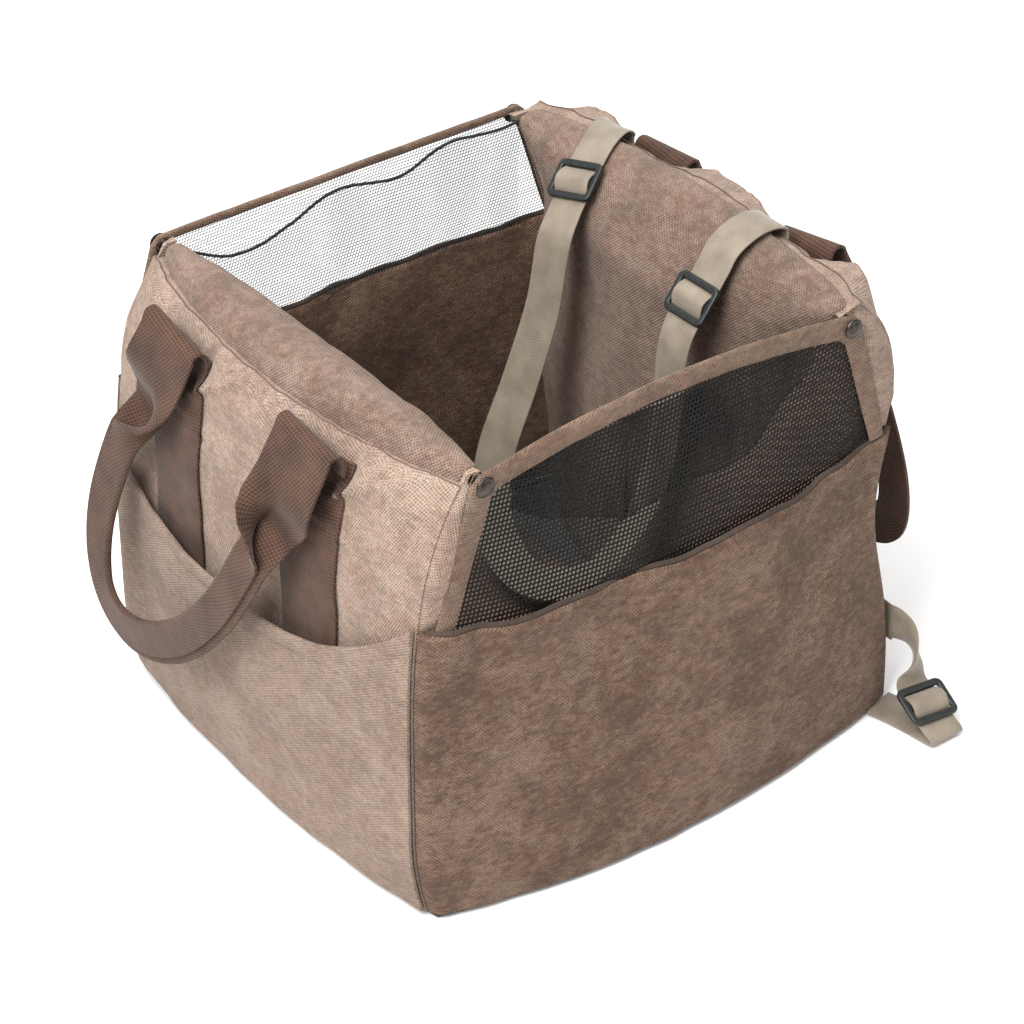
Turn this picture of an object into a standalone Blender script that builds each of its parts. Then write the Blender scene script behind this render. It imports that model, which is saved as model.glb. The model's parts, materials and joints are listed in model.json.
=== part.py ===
"""Open-topped pet carrier bag with padded end bolsters, fold-down mesh flaps and a seat tether.

Metres, +Z up. The origin is the middle of the base, on the floor. X runs from the pocket end (-X) to
the tether end (+X), and the front wall faces -Y.
"""
import math

import bmesh
import bpy
from mathutils import Vector

# ---------------------------------------------------------------- driving dimensions
# End walls (outer surface, distance from the middle plane)
END_MID, END_CORNER = 0.183, {"left": 0.175, "right": 0.183}  # widest, mid width and at the corners
END_SEAM_MID = {"left": 0.166, "right": 0.160}  # at the top seam
END_SEAM_CORNER = {"left": 0.141, "right": 0.146}
END_TUCK_MID, END_TUCK_CORNER = 0.003, {"left": 0.009, "right": 0.0}  # how far its foot draws in
END_WAIST = {"left": 0.0, "right": 0.0185}  # how far its corners draw in at half height
WAIST_HEIGHT, WAIST_REACH = 0.150, 0.068
END_SHOULDER_MID = 7.0  # how late the wall turns in towards its seam
END_SHOULDER_CORNER = {"left": 4.5, "right": 7.0}
END_TURN_FROM = 0.060  # height where that turn begins
SEAM_TOP = {"left": 0.288, "right": 0.297}  # height of the outer top seam
CORNER_POWER = 2.2  # how the section changes from mid width to corner
PANEL = 0.0025  # fabric panel thickness
GAP = 0.0003  # clearance between touching pieces
FACET_GAP = 0.0010  # clearance between two curved skins with different facets

# Bolsters
BOLSTER_HALF_Y = 0.1505
BOLSTER_MID = {"left": 0.075, "right": 0.071}  # thickness
BOLSTER_CORNER = {"left": 0.018, "right": 0.024}
BOLSTER_TOP = {"left": 0.299, "right": 0.2955}
BOLSTER_DROP = {"left": 0.030, "right": 0.044}  # how far the inner shoulder lies below the outer seam at mid width
BOLSTER_FOOT, BOLSTER_GAP = 0.0076, 0.0018  # gap: to the end panel over it

# Front and back walls
WALL_CORNER_Y, WALL_BULGE_FOOT, WALL_BULGE_TOP = 0.158, 0.026, 0.009
WALL = 0.007
WALL_FOOT = 0.0033
WALL_ENDS_X = 0.0004  # how far the walls stop short of the end panels' outer surface
SEAM_MID = {"front": 0.190, "back": 0.207}  # mesh seam height in the middle
SEAM_END = {"front": 0.204, "back": 0.210}  # and at the corners
SIDE = {"front": -1.0, "back": 1.0}  # direction along Y

# Base
UNDERSIDE, BOARD, MAT = 0.003, 0.004, 0.020  # thicknesses, floor upwards
BASE_HALF_X, BASE_CORNER_X = 0.178, 0.164
BASE_HALF_Y, BASE_CORNER_Y = 0.181, 0.156

# Mesh flaps
FLAP_Y = 0.1565  # middle of the flap's thickness at its corners
FLAP_TOP_X, FLAP_FOOT_X = 0.137, 0.163
FLAP_TOP_CORNER = 0.296
FLAP_TOP_MID = {"front": 0.310, "back": 0.295}
FLAP_BULGE = 0.008
BINDING_WIDTH, BINDING = 0.012, 0.003
NET = 0.001
FLAP_HINGE_Y = 0.1650  # the flaps fold about their seams' ends
DRAPE_HALF_X, DRAPE_BACK = 0.108, 0.0045
DRAPE_FOOT_MID, DRAPE_FOOT_END, DRAPE_TOP = 0.222, 0.262, 0.287

# Snap fasteners
SNAP_X, SNAP_Z = 0.131, 0.289
CAP_RADIUS, CAP_HEIGHT = 0.0062, 0.0024
SOCKET_RADIUS, SOCKET_BORE, SOCKET_HEIGHT = 0.0050, 0.0021, 0.0020
STUD_RADIUS, STUD_PLATE, STUD_NUB, STUD_NUB_RADIUS = 0.0050, 0.0009, 0.0034, 0.0017

# Slip pocket on the -X end
POCKET_FOOT, POCKET_LOW, POCKET_NEAR, POCKET_FAR = 0.0045, 0.152, 0.206, 0.172
POCKET_LOW_Y = 0.020
POCKET_HALF_Y = 0.150
POCKET_SWELL = 0.0085

# Carrying handles: webbing that is flat where it is sewn on and folded in half at the grip
WEBBING, WEBBING_THICK = 0.050, 0.0018
GRIP, GRIP_THICK = 0.026, 0.0048
HANDLE_FEET = (0.070, -0.064)  # Y of the two sewn ends of the -X handle
ANCHOR_FOOT, ANCHOR_TOP = 0.128, 0.2785
HANDLE_AXIS = Vector((0.1740, 0.0, 0.2835))  # the fold that the handle swings about, at +X
HANDLE_ROUTE = [  # the -X handle's centreline below its two folds
    (-0.1870, 0.0705, 0.2700), (-0.1945, 0.0850, 0.2430), (-0.1995, 0.1100, 0.1940),
    (-0.2050, 0.1260, 0.1420), (-0.2100, 0.1220, 0.1040), (-0.2140, 0.0970, 0.0870),
    (-0.2160, 0.0610, 0.0930), (-0.2160, 0.0210, 0.1175), (-0.2140, -0.0130, 0.1540),
    (-0.2100, -0.0375, 0.1940), (-0.2040, -0.0535, 0.2300), (-0.1870, -0.0645, 0.2700),
]

# Straps and their slide adjusters
STRAP, STRAP_THICK = 0.026, 0.0016
GLIDE_LENGTH, GLIDE_WIDTH, GLIDE_BAR, GLIDE_SIDE = 0.026, 0.034, 0.0045, 0.0038
GLIDE_THICK, GLIDE_LIFT = 0.0030, 0.0019  # lift: from the strap's middle to the frame's underside
TETHER_ROUTE = [  # centre point and width direction, from the rear sewn end to the front one
    ((0.1590, 0.0882, 0.3015), (0.1, -1.0, 0.0)), ((0.1490, 0.0842, 0.3055), (0.2, -1.0, 0.1)),
    ((0.1360, 0.0785, 0.3035), (0.2, -1.0, 0.2)), ((0.1240, 0.0738, 0.2970), (0.2, -1.0, 0.2)),
    ((0.1120, 0.0690, 0.2868), (0.2, -1.0, 0.2)), ((0.0960, 0.0626, 0.2732), (0.2, -1.0, 0.2)),
    ((0.0865, 0.0605, 0.2560), (0.2, -1.0, 0.1)), ((0.0820, 0.0650, 0.2100), (0.2, -1.0, 0.0)),
    ((0.0700, 0.0710, 0.1600), (0.3, -1.0, 0.0)), ((0.0500, 0.0720, 0.1070), (0.5, -1.0, 0.0)),
    ((0.0380, 0.0560, 0.0680), (0.8, -0.6, 0.1)), ((0.0400, 0.0240, 0.0480), (0.9, 0.0, 0.3)),
    ((0.0600, -0.0040, 0.0540), (0.8, 0.4, 0.4)), ((0.0800, -0.0240, 0.0900), (0.4, 0.9, 0.1)),
    ((0.0870, -0.0420, 0.1450), (0.1, 1.0, 0.0)), ((0.0830, -0.0560, 0.2050), (0.0, 1.0, 0.0)),
    ((0.0810, -0.0600, 0.2360), (0.0, 1.0, 0.0)), ((0.0858, -0.0604, 0.2560), (0.0, 1.0, 0.0)),
    ((0.0978, -0.0600, 0.2714), (0.0, 1.0, 0.0)), ((0.1118, -0.0596, 0.2894), (0.0, 1.0, 0.0)),
    ((0.1200, -0.0592, 0.2999), (0.0, 1.0, 0.0)), ((0.1350, -0.0585, 0.3060), (0.0, 1.0, 0.0)),
    ((0.1490, -0.0578, 0.3062), (0.0, 1.0, 0.0)), ((0.1590, -0.0572, 0.3020), (0.0, 1.0, 0.0)),
]
TETHER_GLIDES = {"rear": 4, "front": 18}  # which route point each adjuster sits at
SEAT_ROUTE = [  # from the sewn end beside the corner seam, through the adjuster and back to the base
    ((0.1833, -0.1365, 0.0550), (0.0, 0.0, -1.0)), ((0.1833, -0.1455, 0.0550), (0.0, 0.0, -1.0)),
    ((0.1828, -0.1545, 0.0550), (0.0, 0.0, -1.0)), ((0.1840, -0.1600, 0.0545), (0.0, 0.0, -1.0)),
    ((0.1858, -0.1658, 0.0505), (0.1, 0.3, -1.0)), ((0.1878, -0.1720, 0.0403), (0.5, 0.7, -0.4)),
    ((0.1868, -0.1745, 0.0295), (0.9, 0.4, -0.1)), ((0.1833, -0.1788, 0.0209), (1.0, 0.1, 0.0)),
    ((0.1815, -0.1920, 0.0140), (1.0, 0.0, 0.0)), ((0.1800, -0.2070, 0.0078), (1.0, 0.0, 0.0)),
    ((0.1796, -0.2122, 0.0060), (1.0, 0.0, 0.0)), ((0.1796, -0.2144, 0.0040), (1.0, 0.0, 0.0)),
    ((0.1796, -0.2122, 0.0022), (1.0, 0.0, 0.0)), ((0.1792, -0.2050, 0.0015), (1.0, 0.0, 0.0)),
    ((0.1775, -0.1910, 0.0012), (1.0, 0.1, 0.0)), ((0.1745, -0.1750, 0.0012), (1.0, 0.1, 0.0)),
    ((0.1710, -0.1610, 0.0012), (1.0, 0.2, 0.0)),
]
SEAT_GLIDE = 8

# Colours as linear RGB
VELOUR, VELOUR_LIGHT, VELOUR_DARK = (0.26, 0.17, 0.13), (0.39, 0.30, 0.24), (0.19, 0.13, 0.10)
BROWN_WEBBING, TAUPE_WEBBING = (0.13, 0.080, 0.065), (0.35, 0.29, 0.22)
BLACK_NET, BLACK_FELT, BLACK_PLASTIC = (0.015, 0.014, 0.013), (0.02, 0.02, 0.02), (0.012, 0.015, 0.015)
GUNMETAL, BOARD_GREY = (0.06, 0.05, 0.045), (0.10, 0.10, 0.10)


# ---------------------------------------------------------------- materials and helpers
def material(name, colour, roughness, metallic=0.0):
    made = bpy.data.materials.get(name) or bpy.data.materials.new(name)
    made.use_nodes = True
    shader = made.node_tree.nodes["Principled BSDF"]
    shader.inputs["Base Color"].default_value = (*colour, 1.0)
    shader.inputs["Roughness"].default_value = roughness
    shader.inputs["Metallic"].default_value = metallic
    return made


def add_object(name, bm, made_of, parent=None):
    """Turn a mesh drawn in world coordinates into an object with its origin at its parent."""
    origin = parent.location.copy() if parent else Vector()
    bmesh.ops.remove_doubles(bm, verts=bm.verts, dist=1e-7)
    bmesh.ops.recalc_face_normals(bm, faces=bm.faces)
    bmesh.ops.translate(bm, verts=bm.verts, vec=-origin)
    mesh = bpy.data.meshes.new(name)
    bm.to_mesh(mesh)
    bm.free()
    mesh.shade_smooth()
    mesh.set_sharp_from_angle(angle=math.radians(38))
    mesh.materials.append(made_of)
    made = bpy.data.objects.new(name, mesh)
    bpy.context.collection.objects.link(made)
    made.parent = parent
    return made


def add_pivot(name, location):
    pivot = bpy.data.objects.new(name, None)
    pivot.location = location
    bpy.context.collection.objects.link(pivot)
    return pivot


def loft(rings):
    """A closed solid through rings of equally many points, with flat caps."""
    bm = bmesh.new()
    drawn = [[bm.verts.new(point) for point in ring] for ring in rings]
    for ring, following in zip(drawn, drawn[1:]):
        for i in range(len(ring)):
            j = (i + 1) % len(ring)
            bm.faces.new((ring[i], ring[j], following[j], following[i]))
    bm.faces.new(drawn[0])
    bm.faces.new(drawn[-1])
    return bm


def turned(profile, centre, axis, segments=20):
    """A solid of revolution from (radius, height) points that start and end on the axis."""
    along = Vector(axis)
    across = along.orthogonal().normalized()
    sideways = along.cross(across)
    bm = bmesh.new()
    rings = []
    for radius, height in profile:
        middle = Vector(centre) + along * height
        if radius == 0.0:
            rings.append([bm.verts.new(middle)])
            continue
        turns = [2 * math.pi * k / segments for k in range(segments)]
        rings.append([
            bm.verts.new(middle + radius * (across * math.cos(a) + sideways * math.sin(a)))
            for a in turns
        ])
    closed = list(zip(rings, rings[1:]))
    if profile[0][0] > 0.0:
        closed.append((rings[-1], rings[0]))
    for ring, following in closed:
        for i in range(segments):
            j = (i + 1) % segments
            corners = [ring[i % len(ring)], ring[j % len(ring)]]
            corners += [following[j % len(following)], following[i % len(following)]]
            bm.faces.new(list(dict.fromkeys(corners)))
    return bm


def smooth_curve(points, per_span):
    """Points along a smooth curve through the given ones."""
    points = [Vector(p) for p in points]
    ends = [2 * points[0] - points[1], *points, 2 * points[-1] - points[-2]]
    drawn = []
    for a, b, c, d in zip(ends, ends[1:], ends[2:], ends[3:]):
        for k in range(per_span):
            t = k / per_span
            drawn.append(0.5 * (
                2 * b + (c - a) * t + (2 * a - 5 * b + 4 * c - d) * t * t
                + (3 * b - a - 3 * c + d) * t ** 3
            ))
    return drawn + [points[-1]]


def ribbon(centres, width_directions, widths, thicknesses):
    """A band with a rectangular section along a centreline."""
    rings = []
    for i, centre in enumerate(centres):
        before, after = centres[max(i - 1, 0)], centres[min(i + 1, len(centres) - 1)]
        along = (after - before).normalized()
        across = width_directions[i] - along * width_directions[i].dot(along)
        across = across.normalized() * widths[i] / 2
        out = along.cross(across).normalized() * thicknesses[i] / 2
        rings.append([centre + across + out, centre - across + out,
                      centre - across - out, centre + across - out])
    return loft(rings)


def blend(a, b, t):
    return a + (b - a) * t


def strips(count):
    """Fractions from -1 to 1."""
    return [2 * k / count - 1 for k in range(count + 1)]


# ---------------------------------------------------------------- the bag's surfaces
def corner_share(y):
    return min(abs(y) / BOLSTER_HALF_Y, 1.0) ** CORNER_POWER


def end_surface(end, y, z):
    """Distance of an end wall's outer surface from the middle plane."""
    share = corner_share(y)
    widest = blend(END_MID, END_CORNER[end], share)
    seam = blend(END_SEAM_MID[end], END_SEAM_CORNER[end], share)
    turn = max(z - END_TURN_FROM, 0.0) / (SEAM_TOP[end] - END_TURN_FROM)
    turn = turn ** blend(END_SHOULDER_MID, END_SHOULDER_CORNER[end], share)
    waist = END_WAIST[end] * share * math.exp(-(((z - WAIST_HEIGHT) / WAIST_REACH) ** 2))
    tuck = max(1 - z / END_TURN_FROM, 0.0) ** 2 * blend(END_TUCK_MID, END_TUCK_CORNER[end], share)
    return widest - (widest - seam) * turn - tuck - waist


def corner_x(share, z):
    """Where the front and back walls reach, share running -1 to 1 from the left to the right end."""
    end = "left" if share < 0 else "right"
    return share * (end_surface(end, BOLSTER_HALF_Y, z) - WALL_ENDS_X)


def wall_surface(share, z):
    """Distance of the front or back wall's outer surface, share running -1 to 1 along X."""
    bulge = blend(WALL_BULGE_FOOT, WALL_BULGE_TOP, min(z / SEAM_MID["front"], 1.0) ** 2)
    return WALL_CORNER_Y + bulge * (1 - share * share)


def mesh_seam(share, which):
    """Height where the wall ends and the flap begins."""
    return blend(SEAM_MID[which], SEAM_END[which], share * share)


def mesh_seam_at(x, which):
    return mesh_seam(x / corner_x(1.0 if x > 0 else -1.0, SEAM_END[which]), which)


def pocket_edge(y):
    if y > POCKET_LOW_Y:
        return blend(POCKET_LOW, POCKET_FAR, ((y - POCKET_LOW_Y) / (POCKET_HALF_Y - POCKET_LOW_Y)) ** 2)
    return blend(POCKET_LOW, POCKET_NEAR, ((POCKET_LOW_Y - y) / (POCKET_HALF_Y + POCKET_LOW_Y)) ** 3)


def flap_surface(share, up):
    """Distance along Y of the flap's middle surface; up is 0 at the seam and 1 at the top."""
    return FLAP_Y + FLAP_BULGE * (1 - share * share) * (1 - 0.7 * up)


def flap_outline(which, inset):
    """The flap's left, top and right edges as (x, z), drawn in by the inset."""
    foot_x, top_x = FLAP_FOOT_X - inset, FLAP_TOP_X - inset
    corner = FLAP_TOP_CORNER - inset
    rise = FLAP_TOP_MID[which] - FLAP_TOP_CORNER
    top = [(top_x * f, corner + rise * (1 - f * f)) for f in strips(14)[1:-1]]
    sides = []
    for side in (-1, 1):
        foot = mesh_seam_at(side * FLAP_FOOT_X, which) + GAP * 2
        heights = (0.0, 0.25, 0.5, 0.75, 1.0)
        sides.append([(side * blend(foot_x, top_x, t), blend(foot, corner, t)) for t in heights])
    return sides[0] + top + sides[1][::-1]


# ---------------------------------------------------------------- base
def base_slab(foot, height, inset):
    outline = []
    for side in range(4):
        for k in range(10):
            share = 2 * k / 10 - 1
            long_x = blend(BASE_HALF_X, BASE_CORNER_X, share * share) - inset
            long_y = blend(BASE_HALF_Y, BASE_CORNER_Y, share * share) - inset
            short_x, short_y = BASE_CORNER_X - inset, BASE_CORNER_Y - inset
            outline.append([
                (share * short_x, -long_y), (long_x, share * short_y),
                (-share * short_x, long_y), (-long_x, -share * short_y),
            ][side])
    return loft([[Vector((x, y, z)) for x, y in outline] for z in (foot, foot + height)])


def build_base():
    board_foot = UNDERSIDE + GAP
    add_object("underside_panel", base_slab(0.0, UNDERSIDE, 0.0), material("black_felt", BLACK_FELT, 0.95))
    add_object("base_board", base_slab(board_foot, BOARD, 0.010), material("board", BOARD_GREY, 0.6))
    mat_foot = board_foot + BOARD + GAP
    half_x, half_y, turn = 0.098, 0.140, 0.018
    outline = []
    for corner in range(4):
        sx, sy = ((1, 1), (-1, 1), (-1, -1), (1, -1))[corner]
        for k in range(5):
            angle = math.pi / 2 * (corner + k / 4)
            outline.append((sx * (half_x - turn) + turn * math.cos(angle),
                            sy * (half_y - turn) + turn * math.sin(angle)))
    rings = []
    for height, inset in ((0.0, 0.005), (0.25, 0.0), (0.75, 0.0), (1.0, 0.006)):
        shrink_x, shrink_y = 1 - inset / half_x, 1 - inset / half_y
        rings.append([Vector((x * shrink_x, y * shrink_y, mat_foot + MAT * height)) for x, y in outline])
    add_object("floor_mat", loft(rings), material("velour_dark", VELOUR_DARK, 0.95))


# ---------------------------------------------------------------- end walls
def end_levels(end):
    """Heights shared by a bolster and the panel over it, closer together where the wall turns in."""
    return [blend(BOLSTER_FOOT, SEAM_TOP[end], 1 - (1 - k / 11) ** 1.5) for k in range(12)]


def bolster_section(end, y):
    """The bolster's outline at one place along Y, as (distance from the middle plane, z)."""
    share = corner_share(y)
    skin = PANEL + BOLSTER_GAP
    thick = blend(BOLSTER_MID[end], BOLSTER_CORNER[end], share)
    inner_top = SEAM_TOP[end] - blend(BOLSTER_DROP[end], 0.002, share)
    outer = [(end_surface(end, y, z) - skin, z) for z in end_levels(end)]
    shoulder = (end_surface(end, y, inner_top) - skin - thick, inner_top)
    middle_x, middle_z = (outer[-1][0] + shoulder[0]) / 2, (SEAM_TOP[end] + inner_top) / 2
    half_x, half_z = (outer[-1][0] - shoulder[0]) / 2, (SEAM_TOP[end] - inner_top) / 2
    crown = BOLSTER_TOP[end] - middle_z
    top = []
    for k in range(1, 8):
        angle = math.pi * k / 8
        top.append((middle_x + half_x * math.cos(angle),
                    middle_z + half_z * math.cos(angle) + crown * math.sin(angle)))
    levels_down = [blend(inner_top, BOLSTER_FOOT, k / 7) for k in range(8)]
    inner = [(end_surface(end, y, z) - skin - thick, z) for z in levels_down]
    return outer + top + inner


def build_end(name, side):
    stations = [BOLSTER_HALF_Y * f for f in strips(14)]
    rings = [[Vector((side * x, y, z)) for x, z in bolster_section(name, y)] for y in stations]
    add_object(name + "_bolster", loft(rings), material("velour", VELOUR, 0.95))

    levels = [WALL_FOOT, *end_levels(name)]
    rings = []
    for y in stations:
        outer = [Vector((side * end_surface(name, y, z), y, z)) for z in levels]
        inner = [Vector((side * (end_surface(name, y, z) - PANEL), y, z)) for z in reversed(levels)]
        rings.append(outer + inner)
    add_object(name + "_end_panel", loft(rings), material("velour_light", VELOUR_LIGHT, 0.95))


def build_pocket():
    rings = []
    for y in [POCKET_HALF_Y * f for f in strips(16)]:
        edge = pocket_edge(y)
        section = []
        for k in range(9):
            z = blend(POCKET_FOOT, edge, k / 8)
            swell = POCKET_SWELL * (1 - (y / POCKET_HALF_Y) ** 2) * (k / 8) ** 1.5
            section.append((end_surface("left", y, z) + FACET_GAP + swell, z))
        outer = [Vector((-x - PANEL, y, z)) for x, z in section]
        inner = [Vector((-x, y, z)) for x, z in reversed(section)]
        rings.append(outer + inner)
    add_object("slip_pocket", loft(rings), material("velour_light", VELOUR_LIGHT, 0.95))


# ---------------------------------------------------------------- front and back walls
def build_wall(which):
    rings = []
    for share in strips(18):
        seam = mesh_seam(share, which)
        levels = [blend(WALL_FOOT, seam, k / 8) for k in range(9)]
        section = [(corner_x(share, z), wall_surface(share, z), z) for z in levels]
        outer = [Vector((x, SIDE[which] * y, z)) for x, y, z in section]
        inner = [Vector((x, SIDE[which] * (y - WALL), z)) for x, y, z in reversed(section)]
        rings.append(outer + inner)
    add_object(which + "_wall", loft(rings), material("velour", VELOUR, 0.95))


def build_flap(which, pivot):
    side = SIDE[which]
    outer, inner = flap_outline(which, 0.0), flap_outline(which, BINDING_WIDTH)
    rings = []
    for edge, inset_edge in zip(outer, inner):
        ring = []
        for (x, z), lift in ((edge, 0.5), (edge, -0.5), (inset_edge, -0.5), (inset_edge, 0.5)):
            up = (z - SEAM_END[which]) / (FLAP_TOP_MID[which] - SEAM_END[which])
            y = flap_surface(min(abs(x) / FLAP_FOOT_X, 1.0), up) + lift * BINDING
            ring.append(Vector((x, side * y, z)))
        rings.append(ring)
    add_object(which + "_flap_binding", loft(rings), material("velour", VELOUR, 0.95), pivot)

    rings = []
    net_foot_x, net_top_x = FLAP_FOOT_X - BINDING_WIDTH - 2 * GAP, FLAP_TOP_X - BINDING_WIDTH - 2 * GAP
    for share in strips(18):
        foot = mesh_seam_at(share * net_foot_x, which) + 2 * GAP
        corner = FLAP_TOP_CORNER - BINDING_WIDTH - 2 * GAP
        top = corner + (FLAP_TOP_MID[which] - FLAP_TOP_CORNER) * (1 - share * share)
        section = []
        for k in range(7):
            x = share * blend(net_foot_x, net_top_x, k / 6)
            section.append((x, flap_surface(share, k / 6), blend(foot, top, k / 6)))
        front = [Vector((x, side * (y + NET / 2), z)) for x, y, z in section]
        rear = [Vector((x, side * (y - NET / 2), z)) for x, y, z in reversed(section)]
        rings.append(front + rear)
    add_object(which + "_flap_net", loft(rings), material("black_net", BLACK_NET, 0.7), pivot)

    rings = []
    for share in strips(10):
        foot = blend(DRAPE_FOOT_MID, DRAPE_FOOT_END, share * share)
        section = []
        for k in range(4):
            z = blend(foot, DRAPE_TOP, k / 3)
            up = (z - SEAM_END[which]) / (FLAP_TOP_MID[which] - SEAM_END[which])
            section.append((share * DRAPE_HALF_X, flap_surface(share, up) - DRAPE_BACK, z))
        front = [Vector((x, side * (y + NET / 2), z)) for x, y, z in section]
        rear = [Vector((x, side * (y - NET / 2), z)) for x, y, z in reversed(section)]
        rings.append(front + rear)
    add_object(which + "_net_drape", loft(rings), material("black_net", BLACK_NET, 0.7), pivot)


def build_snaps(which, pivot):
    """Cap and socket ride on the flap; the stud is set in the bolster's end."""
    metal = material("gunmetal", GUNMETAL, 0.35, 1.0)
    for name, x in (("left", -SNAP_X), ("right", SNAP_X)):
        out = Vector((0.0, SIDE[which], 0.0))
        share = SNAP_X / FLAP_FOOT_X
        up = (SNAP_Z - SEAM_END[which]) / (FLAP_TOP_MID[which] - SEAM_END[which])
        skin = flap_surface(share, up)
        front = Vector((x, 0.0, SNAP_Z)) + out * (skin + BINDING / 2 + GAP * 2)
        cap = [(0.0, 0.0), (CAP_RADIUS, 0.0), (CAP_RADIUS, CAP_HEIGHT * 0.6),
               (CAP_RADIUS * 0.84, CAP_HEIGHT), (CAP_RADIUS * 0.62, CAP_HEIGHT * 0.7),
               (0.0, CAP_HEIGHT * 0.9)]
        add_object(f"{which}_{name}_snap_cap", turned(cap, front, out), metal, pivot)
        rear = Vector((x, 0.0, SNAP_Z)) + out * (skin - BINDING / 2 - GAP * 2)
        socket = [(SOCKET_BORE, 0.0), (SOCKET_RADIUS, 0.0), (SOCKET_RADIUS * 0.9, SOCKET_HEIGHT),
                  (SOCKET_BORE, SOCKET_HEIGHT)]
        add_object(f"{which}_{name}_snap_socket", turned(socket, rear, -out, 16), metal, pivot)
        seat = Vector((x, 0.0, SNAP_Z)) + out * (BOLSTER_HALF_Y + GAP)
        stud = [(0.0, 0.0), (STUD_RADIUS, 0.0), (STUD_RADIUS, STUD_PLATE),
                (STUD_NUB_RADIUS, STUD_PLATE), (STUD_NUB_RADIUS, STUD_NUB), (0.0, STUD_NUB)]
        add_object(f"{which}_{name}_snap_stud", turned(stud, seat, out, 16), metal)


# ---------------------------------------------------------------- handles
def turn_end(point, side):
    """Turn a point of the -X end by half a turn about Z for the +X end."""
    return Vector((-point[0], -point[1], point[2])) if side > 0 else Vector(point)


def build_handle(name, side, pivot):
    webbing = material("brown_webbing", BROWN_WEBBING, 0.9)
    for place, y in zip(("rear", "front") if side < 0 else ("front", "rear"), HANDLE_FEET):
        rings = []
        for k in range(9):
            z = blend(ANCHOR_FOOT, ANCHOR_TOP, k / 8)
            across = [y + WEBBING / 2 * f for f in strips(4)]
            skin = [(end_surface(name, at, z) + FACET_GAP, at) for at in across]
            inner = [turn_end((-x, at, z), side) for x, at in skin]
            outer = [turn_end((-x - WEBBING_THICK, at, z), side) for x, at in reversed(skin)]
            rings.append(inner + outer)
        add_object(f"{name}_{place}_handle_anchor", loft(rings), webbing)

    fold = [(-HANDLE_AXIS.x, HANDLE_AXIS.z + 0.0035), (-HANDLE_AXIS.x - 0.0065, HANDLE_AXIS.z + 0.0010)]
    first, last = HANDLE_FEET
    route = [(x, first, z) for x, z in fold] + HANDLE_ROUTE + [(x, last, z) for x, z in reversed(fold)]
    centres = smooth_curve(route, 4)
    lengths = [0.0]
    for a, b in zip(centres, centres[1:]):
        lengths.append(lengths[-1] + (b - a).length)
    directions, widths, thicknesses = [], [], []
    outwards = Vector((-1.0, 0.0, 0.0))
    for i, length in enumerate(lengths):
        before, after = centres[max(i - 1, 0)], centres[min(i + 1, len(centres) - 1)]
        from_end = min(length, lengths[-1] - length)
        inwards = -1.0 if length < lengths[-1] / 2 else 1.0
        in_plane = outwards.cross(after - before).normalized()
        in_plane = in_plane * min(from_end / 0.03, 1.0) ** 2
        sewn = Vector((0.0, inwards, 0.0)) * (1 - min(from_end / 0.03, 1.0) ** 2)
        directions.append(in_plane + sewn)
        folded = min(max((from_end - 0.020) / 0.050, 0.0), 1.0)
        folded = folded * folded * (3 - 2 * folded)
        widths.append(blend(WEBBING, GRIP, folded))
        thicknesses.append(blend(WEBBING_THICK, GRIP_THICK, folded))
    if side > 0:
        centres = [turn_end(c, side) for c in centres]
        directions = [turn_end(d, side) for d in directions]
    add_object(name + "_handle", ribbon(centres, directions, widths, thicknesses), webbing, pivot)


# ---------------------------------------------------------------- straps and adjusters
def build_strap(name, route):
    centres = smooth_curve([centre for centre, _ in route], 3)
    directions = smooth_curve([Vector(across).normalized() for _, across in route], 3)
    count = len(centres)
    band = ribbon(centres, directions, [STRAP] * count, [STRAP_THICK] * count)
    add_object(name, band, material("taupe_webbing", TAUPE_WEBBING, 0.6))


def glide_axes(route, at):
    """Centre of an adjuster and its directions along, across and out of the strap."""
    centre = Vector(route[at][0])
    along = (Vector(route[at + 1][0]) - Vector(route[at - 1][0])).normalized()
    across = Vector(route[at][1])
    across = (across - along * across.dot(along)).normalized()
    out = along.cross(across)
    if out.z < 0:
        across, out = -across, -out
    return centre, along, across, out


def glide_frame(axes):
    """A rounded frame with two slots, drawn as a plate with two windows."""
    centre, along, across, out = axes
    half_length, half_width = GLIDE_LENGTH / 2, GLIDE_WIDTH / 2
    slot_width = half_width - GLIDE_SIDE
    rows = [-half_length, -half_length + GLIDE_BAR, -GLIDE_BAR / 2]
    rows += [-row for row in reversed(rows)]
    columns = [-half_width, -slot_width, slot_width, half_width]
    bm = bmesh.new()
    sheets = []
    for height in (GLIDE_LIFT, GLIDE_LIFT + GLIDE_THICK):
        sheets.append([[bm.verts.new(centre + along * row + across * column + out * height)
                        for column in columns] for row in rows])
    windows = {(1, 1), (3, 1)}
    for r in range(5):
        for c in range(3):
            if (r, c) in windows:
                lower, upper = sheets
                ring = [(r, c), (r, c + 1), (r + 1, c + 1), (r + 1, c)]
            else:
                for sheet in sheets:
                    bm.faces.new((sheet[r][c], sheet[r][c + 1], sheet[r + 1][c + 1], sheet[r + 1][c]))
                continue
            for (a, b), (d, e) in zip(ring, ring[1:] + ring[:1]):
                bm.faces.new((lower[a][b], lower[d][e], upper[d][e], upper[a][b]))
    lower, upper = sheets
    rim = [(0, c) for c in range(4)] + [(r, 3) for r in range(1, 6)]
    rim += [(5, c) for c in (2, 1, 0)] + [(r, 0) for r in (4, 3, 2, 1)]
    for (a, b), (d, e) in zip(rim, rim[1:] + rim[:1]):
        bm.faces.new((lower[a][b], lower[d][e], upper[d][e], upper[a][b]))
    return bm


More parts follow.
